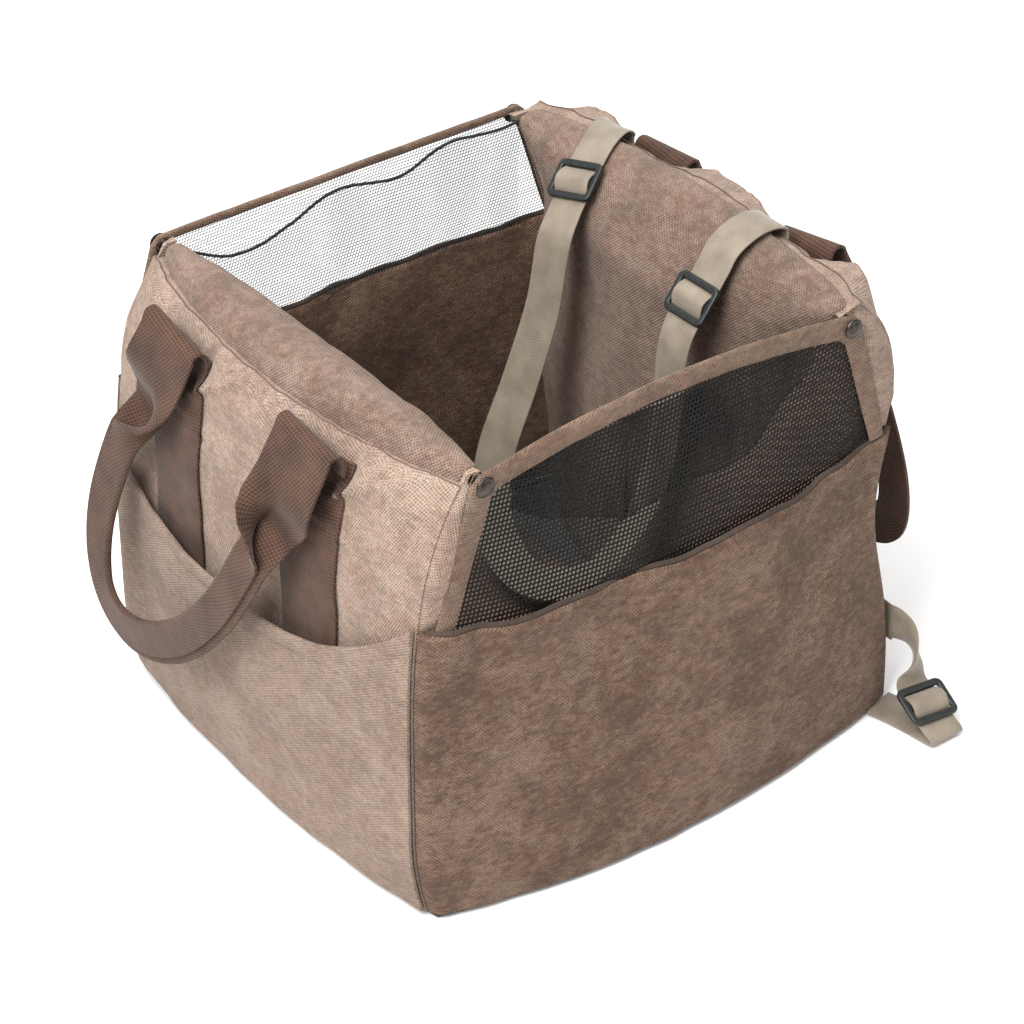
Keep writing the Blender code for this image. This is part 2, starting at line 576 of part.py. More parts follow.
def build_glide(name, route, at, pivot):
    axes = glide_axes(route, at)
    centre, along, across, out = axes
    add_object(name, glide_frame(axes), material("black_plastic", BLACK_PLASTIC, 0.35), pivot)
    clear = STRAP_THICK / 2 + GAP
    low, high = STRAP_THICK / 2 + GAP + clear, GLIDE_LIFT + GLIDE_THICK + clear
    reach = GLIDE_LENGTH / 2 - GLIDE_BAR - clear
    arch = [(-reach, low), (-GLIDE_BAR / 2 - clear, high - 0.0006), (0.0, high + 0.0004),
            (GLIDE_BAR / 2 + clear, high - 0.0006), (reach, low)]
    centres = smooth_curve([centre + along * u + out * h for u, h in arch], 3)
    count = len(centres)
    band = ribbon(centres, [across] * count, [STRAP] * count, [STRAP_THICK] * count)
    add_object(name + "_webbing", band, material("taupe_webbing", TAUPE_WEBBING, 0.6), pivot)


# ---------------------------------------------------------------- assembly
def build():
    for made in list(bpy.data.objects):
        bpy.data.objects.remove(made, do_unlink=True)
    build_base()
    build_end("left", -1.0)
    build_end("right", 1.0)
    build_pocket()
    for which in ("front", "back"):
        build_wall(which)
        pivot = add_pivot(which + "_flap_pivot", (0.0, SIDE[which] * FLAP_HINGE_Y, SEAM_END[which]))
        build_flap(which, pivot)
        build_snaps(which, pivot)
    for name, side in (("left", -1.0), ("right", 1.0)):
        place = (side * HANDLE_AXIS.x, 0.0, HANDLE_AXIS.z)
        build_handle(name, side, add_pivot(name + "_handle_pivot", place))
    build_strap("tether_strap", TETHER_ROUTE)
    for place, at in TETHER_GLIDES.items():
        pivot = add_pivot(f"{place}_glide_pivot", TETHER_ROUTE[at][0])
        build_glide(f"{place}_tether_glide", TETHER_ROUTE, at, pivot)
    build_strap("seat_strap", SEAT_ROUTE)
    pivot = add_pivot("seat_glide_pivot", SEAT_ROUTE[SEAT_GLIDE][0])
    build_glide("seat_strap_glide", SEAT_ROUTE, SEAT_GLIDE, pivot)


build()
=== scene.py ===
"""Looks of the pet carrier bag: soft goods, webbing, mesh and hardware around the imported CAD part."""

from math import cos, exp, pi, radians, sin, sqrt

import bmesh
import bpy
import numpy as np
from mathutils import Matrix, Vector, noise
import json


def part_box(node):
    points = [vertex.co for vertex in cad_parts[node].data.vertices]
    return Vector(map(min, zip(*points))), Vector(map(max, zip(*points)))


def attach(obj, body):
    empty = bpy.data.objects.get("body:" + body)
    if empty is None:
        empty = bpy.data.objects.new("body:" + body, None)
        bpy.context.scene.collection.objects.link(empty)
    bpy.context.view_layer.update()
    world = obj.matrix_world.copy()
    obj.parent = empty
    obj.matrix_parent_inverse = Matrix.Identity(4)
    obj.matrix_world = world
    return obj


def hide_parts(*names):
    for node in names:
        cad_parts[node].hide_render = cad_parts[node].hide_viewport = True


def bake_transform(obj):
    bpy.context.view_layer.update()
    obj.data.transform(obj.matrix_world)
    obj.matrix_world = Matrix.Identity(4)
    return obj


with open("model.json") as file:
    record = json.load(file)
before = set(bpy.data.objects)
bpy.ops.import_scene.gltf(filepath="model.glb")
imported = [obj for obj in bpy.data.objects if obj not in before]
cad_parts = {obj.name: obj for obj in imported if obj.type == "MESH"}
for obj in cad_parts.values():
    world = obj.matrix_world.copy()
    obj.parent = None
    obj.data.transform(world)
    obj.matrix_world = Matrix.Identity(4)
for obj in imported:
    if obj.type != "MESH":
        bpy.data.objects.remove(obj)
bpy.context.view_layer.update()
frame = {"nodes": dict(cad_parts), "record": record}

# ---- camera
LOOK_AT = Vector((-0.0082, -0.0226, 0.1444))
AZIMUTH, ELEVATION, DISTANCE = radians(-37.32), radians(34.98), 2.135
LENS, SENSOR_WIDTH = 125.67, 36.0
FLOOR_GAP = 0.0006


def ends(left, right):
    return {"left": left, "right": right}


def faces(front, back):
    return {"front": front, "back": back}


# ---- the bag's surfaces, as in the CAD
END_MID, END_CORNER = 0.183, ends(0.175, 0.183)
END_SEAM_MID, END_SEAM_CORNER = ends(0.166, 0.16), ends(0.141, 0.146)
END_TUCK_MID, END_TUCK_CORNER = 0.003, ends(0.009, 0.0)
END_WAIST, WAIST_HEIGHT, WAIST_REACH = ends(0.0, 0.0185), 0.15, 0.068
END_SHOULDER_MID, END_SHOULDER_CORNER = 7.0, ends(4.5, 7.0)
END_TURN_FROM, SEAM_TOP, CORNER_POWER = 0.06, ends(0.288, 0.297), 2.2
PANEL, FACET_GAP = 0.0025, 0.001
END_LIFT = ends(0.0, 0.013)  # how far it rolls up over the seam
LIP = 0.012  # seam allowance over the cushion
END_ROLL = ends(0.003, 0.009)  # how far the fabric puffs out under the top seam
ROLL_DROP, LIFT_DROP, LIFT_REACH = 0.017, 0.014, 0.01
CREASES = [(reach * way, lean * way) for reach, lean in ((0.028, 0.45), (0.036, 1.1), (0.046, 1.7))
           for way in (1, -1)]  # beside a handle's foot: how far away each starts, and how it leans
CREASE_WIDTH, CREASE_HEIGHT = 0.0048, 0.003
BOLSTER_HALF_Y, BOLSTER_FOOT, BOLSTER_GAP = 0.1505, 0.0076, 0.0018
BOLSTER_DROP, BOLSTER_TOP = ends(0.03, 0.044), ends(0.299, 0.2955)
BOLSTER_PUFF = ends(0.0, 0.0025)
BOLSTER_MID, BOLSTER_CORNER = ends(0.075, 0.071), ends(0.018, 0.024)
GUSSET_TOP, GUSSET_PUFF = 0.2955, 0.0075
WALL_CORNER_Y, WALL_BULGE_FOOT, WALL_BULGE_TOP = 0.158, 0.026, 0.009
WALL, WALL_FOOT = 0.007, 0.0033
GATHER_REACH, GATHER_HEIGHT = 0.05, 0.0048
SEAM_MID = faces(0.19, 0.207)
SEAM_END = faces(0.204, 0.21)
SIDE = faces(-1.0, 1.0)
FLAP_Y, FLAP_BULGE, FLAP_TOP_X, FLAP_FOOT_X = 0.1565, 0.008, 0.137, 0.163
FLAP_TOP_CORNER, FLAP_TOP_MID = 0.296, faces(0.31, 0.295)
BINDING_WIDTH, BINDING = 0.012, 0.003
BINDING_PROFILE = [  # its section, as shares of its width and thickness
    (0.04, -0.35), (0.0, 0.0), (0.04, 0.35), (0.14, 0.52), (0.35, 0.6), (0.65, 0.54),
    (0.86, 0.5), (0.9, 0.38), (0.97, 0.44), (1.0, 0.24), (0.99, 0.2), (0.7, 0.2),
    (0.46, 0.1), (0.45, -0.16), (0.43, -0.42), (0.36, -0.56), (0.14, -0.52)]
SNAP_PROFILE = [  # a domed cap, as shares of its radius and height
    (0.0, 0.0), (0.9, 0.0), (1.0, 0.2), (1.0, 0.42), (0.95, 0.62), (0.84, 0.7),
    (0.76, 0.6), (0.7, 0.62), (0.6, 0.86), (0.38, 0.97), (0.0, 1.0)]
DRAPE_HALF_X, DRAPE_BACK = faces(0.108, 0.13), 0.0045
DRAPE_FOOT_MID, DRAPE_FOOT_END, DRAPE_TOP = 0.222, 0.262, 0.287
DRAPE_BACK_LOW = 0.212  # the back layer's sewn edge
PLEAT_AT = 0.02  # where the front layer is pleated
DRAPE_RIM = (0.284, 0.269, 0.274, 0.286, 0.281, 0.29, 0.291)  # heights of the back layer's free edge
FELT_MIDDLE, FELT_CORNER = (0.178, 0.181), (0.164, 0.156)  # the underside's half sizes
POCKET_FOOT, POCKET_LOW, POCKET_NEAR, POCKET_FAR = 0.0045, 0.152, 0.206, 0.172
POCKET_LOW_Y, POCKET_HALF_Y, POCKET_SWELL = 0.02, 0.15, 0.0085
WEBBING, WEBBING_THICK = 0.05, 0.0018
HANDLE_FEET = (0.07, -0.064)
ANCHOR_FOOT, ANCHOR_TOP = 0.128, 0.2785
HANDLE_FLAT = 0.05  # length at each end that lies flat on the panel
TURN_FROM, TURN_LENGTH = 0.028, 0.032  # where the webbing turns edge on
FOLD_FROM, FOLD_LENGTH = 0.055, 0.06  # where its one half folds over the other
HANDLE_ROUTE = [
    (-0.187, 0.0705, 0.27), (-0.1945, 0.085, 0.243), (-0.1995, 0.11, 0.194),
    (-0.205, 0.126, 0.142), (-0.21, 0.122, 0.104), (-0.214, 0.097, 0.087),
    (-0.216, 0.061, 0.093), (-0.216, 0.021, 0.1175), (-0.214, -0.013, 0.154),
    (-0.21, -0.0375, 0.194), (-0.204, -0.0535, 0.23), (-0.187, -0.0645, 0.27),
]
HAIRPIN = [(-0.173, 0.274), (-0.1722, 0.283), (-0.1755, 0.2895), (-0.1815, 0.289), (-0.1855, 0.281)]
STRAP, STRAP_THICK = 0.026, 0.0016
GLIDE_LENGTH, GLIDE_WIDTH, GLIDE_BAR, GLIDE_SIDE = 0.026, 0.034, 0.0045, 0.0038
GLIDE_THICK, GLIDE_LIFT = 0.003, 0.0019
TETHER_ROUTE = [  # centre and width direction
    ((0.159, 0.0882, 0.3015), (0.1, -1, 0)), ((0.149, 0.0842, 0.3055), (0.2, -1, 0.1)),
    ((0.136, 0.0785, 0.3035), (0.2, -1, 0.2)), ((0.124, 0.0738, 0.297), (0.2, -1, 0.2)),
    ((0.112, 0.069, 0.2868), (0.2, -1, 0.2)), ((0.096, 0.0626, 0.2732), (0.2, -1, 0.2)),
    ((0.0865, 0.0605, 0.256), (0.2, -1, 0.1)), ((0.082, 0.065, 0.21), (0.2, -1, 0)),
    ((0.07, 0.071, 0.16), (0.3, -1, 0)), ((0.05, 0.072, 0.107), (0.5, -1, 0)),
    ((0.038, 0.056, 0.068), (0.8, -0.6, 0.1)), ((0.04, 0.024, 0.048), (0.9, 0, 0.3)),
    ((0.06, -0.004, 0.054), (0.8, 0.4, 0.4)), ((0.08, -0.024, 0.09), (0.4, 0.9, 0.1)),
    ((0.087, -0.042, 0.145), (0.1, 1, 0)), ((0.083, -0.056, 0.205), (0, 1, 0)),
    ((0.081, -0.06, 0.236), (0, 1, 0)), ((0.0858, -0.0604, 0.256), (0, 1, 0)),
    ((0.0978, -0.06, 0.2714), (0, 1, 0)), ((0.1118, -0.0596, 0.2894), (0, 1, 0)),
    ((0.12, -0.0592, 0.2999), (0, 1, 0)), ((0.135, -0.0585, 0.306), (0, 1, 0)),
    ((0.149, -0.0578, 0.3062), (0, 1, 0)), ((0.159, -0.0572, 0.302), (0, 1, 0)),
]
SEAT_ROUTE = [  # from the sewn end in the corner seam, through the adjuster and back to the base
    ((0.1833, -0.1365, 0.055), (0, 0, -1)), ((0.1833, -0.1455, 0.055), (0, 0, -1)),
    ((0.1828, -0.1545, 0.055), (0, 0, -1)), ((0.184, -0.16, 0.0545), (0, 0, -1)),
    ((0.1858, -0.1658, 0.0505), (0.1, 0.3, -1)), ((0.1878, -0.172, 0.0403), (0.5, 0.7, -0.4)),
    ((0.1868, -0.1745, 0.0295), (0.9, 0.4, -0.1)), ((0.1833, -0.1788, 0.0209), (1, 0.1, 0)),
    ((0.1815, -0.192, 0.014), (1, 0, 0)), ((0.18, -0.207, 0.0078), (1, 0, 0)),
    ((0.1796, -0.2122, 0.006), (1, 0, 0)), ((0.1796, -0.2144, 0.004), (1, 0, 0)),
    ((0.1796, -0.2122, 0.0022), (1, 0, 0)), ((0.1792, -0.205, 0.0015), (1, 0, 0)),
    ((0.1775, -0.191, 0.0012), (1, 0.1, 0)), ((0.1745, -0.175, 0.0012), (1, 0.1, 0)),
    ((0.171, -0.161, 0.0012), (1, 0.2, 0)),
]


def blend(a, b, t):
    return a + (b - a) * t


def smooth(t):
    t = min(max(t, 0.0), 1.0)
    return t * t * (3 - 2 * t)


def steps(low, high, count):
    return [blend(low, high, k / count) for k in range(count + 1)]


def shares(count):
    return steps(0.0, 1.0, count)


def hump(t):
    """1 at 0, fading out on both sides."""
    return exp(-t * t)


def wander(x, y, z, size, seed=0.0):
    """Smooth noise from about -1 to 1."""
    return noise.noise(Vector((x / size + seed * 7.13, y / size + seed * 3.7, z / size - seed * 5.1)))


def corner_share(y):
    return min(abs(y) / BOLSTER_HALF_Y, 1.0) ** CORNER_POWER


def end_surface(end, y, z):
    """Distance of an end wall's outer surface from the middle plane."""
    share = corner_share(y)
    widest = blend(END_MID, END_CORNER[end], share)
    seam = blend(END_SEAM_MID[end], END_SEAM_CORNER[end], share)
    turn = max(z - END_TURN_FROM, 0.0) / (SEAM_TOP[end] - END_TURN_FROM)
    turn = turn ** blend(END_SHOULDER_MID, END_SHOULDER_CORNER[end], share)
    waist = END_WAIST[end] * share * hump((z - WAIST_HEIGHT) / WAIST_REACH)
    tuck = max(1 - z / END_TURN_FROM, 0.0) ** 2 * blend(END_TUCK_MID, END_TUCK_CORNER[end], share)
    return widest - (widest - seam) * turn - tuck - waist


def corner_x(share, z):
    end = "left" if share < 0 else "right"
    return share * (end_surface(end, BOLSTER_HALF_Y, z) - 0.0004)


def wall_surface(share, z):
    bulge = blend(WALL_BULGE_FOOT, WALL_BULGE_TOP, min(z / SEAM_MID["front"], 1.0) ** 2)
    return WALL_CORNER_Y + bulge * (1 - share * share)


def mesh_seam(share, which):
    return blend(SEAM_MID[which], SEAM_END[which], share * share)


def mesh_seam_at(x, which):
    return mesh_seam(x / corner_x(1.0 if x > 0 else -1.0, SEAM_END[which]), which)


def pocket_edge(y):
    if y > POCKET_LOW_Y:
        return blend(POCKET_LOW, POCKET_FAR, ((y - POCKET_LOW_Y) / (POCKET_HALF_Y - POCKET_LOW_Y)) ** 2)
    return blend(POCKET_LOW, POCKET_NEAR, ((POCKET_LOW_Y - y) / (POCKET_HALF_Y + POCKET_LOW_Y)) ** 3)


def flap_surface(share, up):
    return FLAP_Y + FLAP_BULGE * (1 - share * share) * (1 - 0.7 * up)


def flap_up(which, z):
    return (z - SEAM_END[which]) / (FLAP_TOP_MID[which] - SEAM_END[which])


# ---- mesh helpers
def smooth_curve(points, per_span):
    points = [Vector(p) for p in points]
    ends = [2 * points[0] - points[1], *points, 2 * points[-1] - points[-2]]
    drawn = []
    for a, b, c, d in zip(ends, ends[1:], ends[2:], ends[3:]):
        for k in range(per_span):
            t = k / per_span
            drawn.append(0.5 * (
                2 * b + (c - a) * t + (2 * a - 5 * b + 4 * c - d) * t * t
                + (3 * b - a - 3 * c + d) * t ** 3
            ))
    return drawn + [points[-1]]


def lengths_along(points):
    found = [0.0]
    for a, b in zip(points, points[1:]):
        found.append(found[-1] + (b - a).length)
    return found


def surface(name, rows, look, closed=False, along=None):
    """A mesh through rows of points, with UVs in metres. Closed rows are rings."""
    width = len(rows[0])
    spans = width if closed else width - 1
    across, down = [lengths_along(row + [row[0]] if closed else row) for row in rows], [[0.0] * width]
    for i in range(1, len(rows)):
        if along:
            down.append([along[i]] * width)
        else:
            down.append([down[-1][j] + (rows[i][j] - rows[i - 1][j]).length for j in range(width)])
    faces, uvs = [], []
    for i in range(len(rows) - 1):
        for j in range(spans):
            k = (j + 1) % width
            faces.append((i * width + j, i * width + k, (i + 1) * width + k, (i + 1) * width + j))
            uvs += [(across[i][j], down[i][j]), (across[i][j + 1], down[i][k]),
                    (across[i + 1][j + 1], down[i + 1][k]), (across[i + 1][j], down[i + 1][j])]
    if closed:
        for i in (0, len(rows) - 1):
            faces.append(tuple(i * width + j for j in range(width)))
            uvs += [(rows[i][j].y, rows[i][j].z) for j in range(width)]
    mesh = bpy.data.meshes.new(name)
    mesh.from_pydata([p for row in rows for p in row], [], faces)
    layer = mesh.uv_layers.new(name="UVMap")
    layer.data.foreach_set("uv", [value for uv in uvs for value in uv])
    return finish_mesh(name, mesh, look)


def linked(name, data):
    made = bpy.data.objects.new(name, data)
    bpy.context.scene.collection.objects.link(made)
    return made


def finish_mesh(name, mesh, look, sharp=50):
    bm = bmesh.new()
    bm.from_mesh(mesh)
    bmesh.ops.recalc_face_normals(bm, faces=bm.faces)
    bm.to_mesh(mesh)
    bm.free()
    mesh.shade_smooth()
    mesh.set_sharp_from_angle(angle=radians(sharp))
    mesh.materials.append(look)
    return linked(name, mesh)


def heading(points, i):
    return points[min(i + 1, len(points) - 1)] - points[max(i - 1, 0)]


def squared(across, along):
    """The direction across, made square to the unit direction along."""
    return (across - along * across.dot(along)).normalized()


def band_frames(centres, directions):
    """Frames along a ribbon: (centre, unit across, unit out)."""
    found = []
    for i, centre in enumerate(centres):
        along = heading(centres, i).normalized()
        across = squared(directions[i], along)
        found.append((centre, across, along.cross(across).normalized()))
    return found


def rounded_band(width, thick, turns=3):
    """Half outline points of a flat band with rounded edges, as (across, out)."""
    outline = []
    flat = width / 2 - thick / 2
    for side in (1, -1):
        for k in range(turns + 1):
            angle = pi * k / turns - pi / 2
            outline.append((side * (flat + thick / 2 * cos(angle)),
                            side * thick / 2 * sin(angle)))
        for f in (0.5, 0.0, -0.5):
            outline.append((side * flat * f, side * thick / 2))
    return outline


def band(name, centres, directions, look, width=STRAP, thick=STRAP_THICK):
    """A strap with rounded edges; its UV runs across and along it."""
    outline = rounded_band(width, thick)
    rows = [[c + across * u + out * v for u, v in outline]
            for c, across, out in band_frames(centres, directions)]
    return surface(name, rows, look, closed=True, along=lengths_along(centres))


def tube(name, centres, radius, look):
    """A thin round cord through the centres."""
    angles = [pi * k / 4 for k in range(8)]
    directions = [Vector((0.0, 0.0, 1.0)) if abs(a.z - b.z) < abs(a.x - b.x) + abs(a.y - b.y) else
                  Vector((1.0, 0.0, 0.0)) for a, b in zip(centres, centres[1:] + [centres[-2]])]
    rows = [[c + (across * cos(angle) + out * sin(angle)) * radius for angle in angles]
            for c, across, out in band_frames(centres, directions)]
    return surface(name, rows, look, closed=True, along=lengths_along(centres))


def turned(name, profile, centre, axis, look):
    """A solid of revolution from (radius, height) points."""
    segments = 48
    along = Vector(axis).normalized()
    across = along.orthogonal().normalized()
    sideways = along.cross(across)
    rows = []
    for radius, height in profile:
        rows.append([
            Vector(centre) + along * height
            + max(radius, 1e-5) * (across * cos(2 * pi * k / segments)
                                   + sideways * sin(2 * pi * k / segments))
            for k in range(segments)
        ])
    return surface(name, rows, look, closed=True)


def box_uv(made):
    """UVs in metres from the axis that each face looks along."""
    mesh = made.data
    layer = mesh.uv_layers.get("UVMap") or mesh.uv_layers.new(name="UVMap")
    for face in mesh.polygons:
        normal = [abs(n) for n in face.normal]
        axis = normal.index(max(normal))
        for loop in face.loop_indices:
            co = mesh.vertices[mesh.loops[loop].vertex_index].co
            layer.data[loop].uv = [(co.y, co.z), (co.x, co.z), (co.x, co.y)][axis]


# ---- materials
def feed(tree, socket, value):
    if isinstance(value, bpy.types.NodeSocket):
        tree.links.new(value, socket)
    else:
        socket.default_value = value


def node(tree, kind, links=(), **settings):
    made = tree.nodes.new("ShaderNode" + kind)
    for key, value in settings.items():
        setattr(made, key, value)
    for socket, value in dict(links).items():
        feed(tree, made.inputs[socket], value)
    return made


def maths(tree, operation, *values):
    return node(tree, "Math", dict(enumerate(values)), operation=operation).outputs[0]


def times(tree, a, b):
    return maths(tree, "MULTIPLY", a, b)


def plus(tree, a, b):
    return maths(tree, "ADD", a, b)


def mixed(tree, factor, a, b):
    """Colour a where the factor is 0 and b where it is 1."""
    return node(tree, "Mix", {0: factor, 6: a, 7: b}, data_type="RGBA").outputs[2]


def blank(name, **constants):
    """A new material: itself, its nodes, its shader, the UVs and the place in the object."""
    made = bpy.data.materials.new(name)
    made.use_nodes = True
    tree = made.node_tree
    shader = tree.nodes["Principled BSDF"]
    for socket, value in constants.items():
        shader.inputs[socket.replace("_", " ")].default_value = value
    place = node(tree, "TexCoord").outputs
    return made, tree, shader, place["UV"], place["Object"]


def cloud(tree, where, scale, detail=2.0, roughness=0.5):
    links = {"Vector": where, "Scale": scale, "Detail": detail, "Roughness": roughness}
    return node(tree, "TexNoise", links).outputs[0]


def spread(tree, value, low, high, to_low=0.0, to_high=1.0):
    return node(tree, "MapRange", {0: value, 1: low, 2: high, 3: to_low, 4: to_high}).outputs[0]


def stretched(tree, where, scale):
    return node(tree, "Mapping", {"Vector": where, "Scale": scale}).outputs[0]


def finish_look(tree, shader, colour, height, strength, depth, **others):
    """Connect what varies over the surface: colour, bump and any other sockets."""
    bump = node(tree, "Bump", {"Strength": strength, "Distance": depth, "Height": height})
    for socket, value in {"Base Color": colour, "Normal": bump.outputs[0], **others}.items():
        tree.links.new(value, shader.inputs[socket])


def waves(tree, uv, pitch_u, pitch_v, turn):
    """Sine waves across and along a fabric whose UVs are in metres."""
    mapped = node(tree, "Mapping", {"Vector": uv, "Rotation": (0, 0, turn)}).outputs[0]
    parts = node(tree, "SeparateXYZ", {0: mapped}).outputs
    u = maths(tree, "SINE", times(tree, parts[0], 2 * pi / pitch_u))
    v = maths(tree, "SINE", times(tree, parts[1], 2 * pi / pitch_v))
    return u, v


def velour(name, dark, middle, light, turn):
    """Crushed upholstery velour: mottled pile over a coarse woven grain."""
    made, tree, shader, uv, where = blank(
        name, Sheen_Weight=0.14, Sheen_Roughness=0.5, Sheen_Tint=(1.0, 0.86, 0.76, 1.0),
        Specular_IOR_Level=0.12)
    broad = cloud(tree, where, 20.0, 9.0, 0.78)
    streak = cloud(tree, stretched(tree, where, (0.75, 0.75, 1.6)), 190.0, 5.0, 0.7)
    crush = plus(tree, times(tree, broad, 0.58), times(tree, streak, 0.42))
    ramp = node(tree, "ValToRGB", {"Fac": crush})
    elements = ramp.color_ramp.elements
    elements[0].position, elements[1].position = 0.43, 0.575
    elements[0].color, elements[1].color = (*dark, 1), (*light, 1)
    elements.new(0.5).color = (*middle, 1)
    reddish, greyish = [(*[c * k for c, k in zip(middle, shift)], 1)
                        for shift in ((1.12, 0.86, 0.78), (0.92, 1.02, 1.02))]
    tint = mixed(tree, spread(tree, cloud(tree, where, 62.0, 3.0), 0.4, 0.6), greyish, reddish)
    colour = mixed(tree, 0.22, ramp.outputs[0], tint)
    pitch_u, pitch_v = 0.00235, 0.00215
    u, v = waves(tree, uv, pitch_u, pitch_v, turn)
    weave = times(tree, times(tree, u, v), 0.45)
    grain = plus(tree, weave, cloud(tree, where, 620.0))
    shadowed = [c * 0.32 for c in middle]
    colour = mixed(tree, spread(tree, grain, 0.12, 0.62, 0.74, 0.0), colour, (*shadowed, 1))
    finish_look(tree, shader, colour, grain, 0.75, 0.0009,
                Roughness=spread(tree, crush, 0.38, 0.62, 0.96, 0.8))
    return made


def webbing_look(name, dark, light, pitch_u, pitch_v, rough, sheen, depth, turn):
    """Woven tape: ribs across and along, with darker gaps and a little wear."""
    made, tree, shader, uv, where = blank(name, Sheen_Weight=sheen, Sheen_Roughness=0.4,
                                          Specular_IOR_Level=0.3)
    cells = times(tree, *waves(tree, uv, pitch_u, pitch_v, turn))
    soft, fine = cloud(tree, where, 60.0, 5.0), cloud(tree, where, 1200.0, 1.0)
    height = plus(tree, times(tree, cells, 0.5), times(tree, fine, 0.5))
    tone = plus(tree, height, times(tree, maths(tree, "SUBTRACT", soft, 0.5), 1.4))
    colour = mixed(tree, spread(tree, tone, -0.3, 0.8), (*dark, 1), (*light, 1))
    finish_look(tree, shader, colour, height, 0.6, depth,
                Roughness=spread(tree, soft, 0.0, 1.0, rough - 0.1, rough + 0.08))
    return made


def net_look(name, pitch, thread, dark=(0.0035, 0.0033, 0.003), light=(0.011, 0.0105, 0.0095)):
    """Open mesh: threads with clear holes between them."""
    made, tree, shader, uv, where = blank(name, Roughness=0.6, Specular_IOR_Level=0.1)
    parts = node(tree, "SeparateXYZ", {0: uv}).outputs
    crossing = maths(tree, "MAXIMUM", *[
        maths(tree, "COSINE", times(tree, parts[k], 2 * pi / pitch)) for k in (0, 1)])
    level, edge = cos(pi * thread), 0.25
    lint = cloud(tree, where, 300.0)
    finish_look(tree, shader, mixed(tree, lint, (*dark, 1), (*light, 1)), crossing, 0.5, 0.0003,
                Alpha=spread(tree, crossing, level - edge, level + edge))
    return made


def tulle_look(name, thin, thick):
    """A loose, very fine mesh, denser where it gathers."""
    made, tree, shader, _, where = blank(name, Roughness=0.8, Specular_IOR_Level=0.08)
    gather = cloud(tree, stretched(tree, where, (1.0, 1.0, 0.25)), 42.0, 4.0)
    fine = cloud(tree, where, 900.0, 1.0)
    cover = plus(tree, gather, times(tree, maths(tree, "SUBTRACT", fine, 0.5), 0.12))
    colour = mixed(tree, fine, (0.003, 0.003, 0.003, 1), (0.012, 0.012, 0.011, 1))
    finish_look(tree, shader, colour, fine, 0.4, 0.0003,
                Alpha=spread(tree, cover, 0.36, 0.64, thin, thick))
    return made


def hard_look(name, colour, metallic, rough, scale, depth):
    """Moulded plastic or plated metal with slight unevenness and handling marks."""
    made, tree, shader, _, where = blank(name, Metallic=metallic)
    marks = cloud(tree, where, scale, 6.0)
    worn = [min(c * 1.8 + 0.01, 1.0) for c in colour]
    shade = mixed(tree, spread(tree, marks, 0.45, 0.8), (*colour, 1), (*worn, 1))
    finish_look(tree, shader, shade, marks, 0.25, depth,
                Roughness=spread(tree, marks, 0.0, 1.0, rough - 0.08, rough + 0.12))
    return made


VELOURS = {  # dark, middle and light shades, and how far the weave is turned
    "velour": ((0.125, 0.083, 0.063), (0.198, 0.135, 0.104), (0.27, 0.192, 0.152), 0.0),
    "velour_light": ((0.21, 0.147, 0.113), (0.305, 0.221, 0.172), (0.39, 0.292, 0.232), 0.35),
    "velour_dark": ((0.15, 0.098, 0.072), (0.245, 0.162, 0.12), (0.33, 0.232, 0.178), 0.2),
    # the walls' velour: a darker copy of the bolster's, as painted shade
    "velour_wall": ((0.074, 0.042, 0.028), (0.14, 0.085, 0.058), (0.222, 0.147, 0.107), 0.12),
    "velour_pocket": ((0.18, 0.125, 0.096), (0.258, 0.187, 0.146), (0.33, 0.248, 0.198), -0.2),
    "velour_binding": ((0.12, 0.078, 0.056), (0.178, 0.117, 0.084), (0.24, 0.165, 0.122), 0.3),
}
WEBBINGS = {  # dark and light shades, pitches, roughness, sheen, depth of the ribs, and turn
    "brown_webbing": ((0.022, 0.0105, 0.0065), (0.102, 0.052, 0.033), 0.0036, 0.0026, 0.85, 0.12,
                      0.0005, 0.5),
    "taupe_webbing": ((0.14, 0.112, 0.082), (0.295, 0.248, 0.19), 0.0016, 0.0011, 0.5, 0.3, 0.0002, 0.0),
    "black_felt": ((0.006, 0.006, 0.006), (0.035, 0.034, 0.033), 0.0021, 0.0017, 0.9, 0.2, 0.0005, 0.8),
    "seam_thread": ((0.058, 0.036, 0.026), (0.16, 0.108, 0.08), 0.0016, 0.0012, 0.9, 0.1, 0.0005, 0.0),
    "mesh_seam": ((0.024, 0.015, 0.011), (0.085, 0.056, 0.04), 0.0016, 0.0012, 0.9, 0.1, 0.0005, 0.0),
    "black_rim": ((0.004, 0.004, 0.004), (0.02, 0.019, 0.018), 0.0016, 0.0012, 0.8, 0.1, 0.0005, 0.0),
}
HARDS = {  # colour, metallic, roughness, and the marks' scale and depth
    "board": ((0.1, 0.1, 0.1), 0.0, 0.6, 300.0, 0.0003),
    "gunmetal": ((0.052, 0.043, 0.036), 1.0, 0.26, 260.0, 0.0001),
    "black_plastic": ((0.006, 0.007, 0.007), 0.0, 0.42, 500.0, 0.0001),
}
LOOKS = {name: make(name + "_look", *values)
         for make, table in ((velour, VELOURS), (webbing_look, WEBBINGS), (hard_look, HARDS))
         for name, values in table.items()}
# The same black mesh is drawn denser at the front, as painted shade from the dark inside behind it, and
# greyer and sparser at the back, as painted light from the bright backdrop behind it; its loose layer
# likewise.
LOOKS["black_net"] = net_look("black_net_look", 0.0029, 0.47)
NET_LOOKS = {"front": LOOKS["black_net"],
             "back": net_look("grey_net_look", 0.0022, 0.25, (0.03, 0.034, 0.034), (0.085, 0.092, 0.09))}
DRAPE_LOOKS = {"front": tulle_look("black_drape_look", 0.42, 0.9),
               "back": tulle_look("pale_drape_look", 0.13, 0.24)}


def declare(made, body, slot_name, *nodes):
    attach(made, body)
    if nodes:
        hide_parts(*nodes)
    return made


def fabric(name, rows, look, slot_name, node_name):
    """A closed piece of fabric on the bag's body, whose weave follows the axes."""
    made = surface(name, rows, look, closed=True)
    box_uv(made)
    return declare(made, "bag", slot_name, node_name)


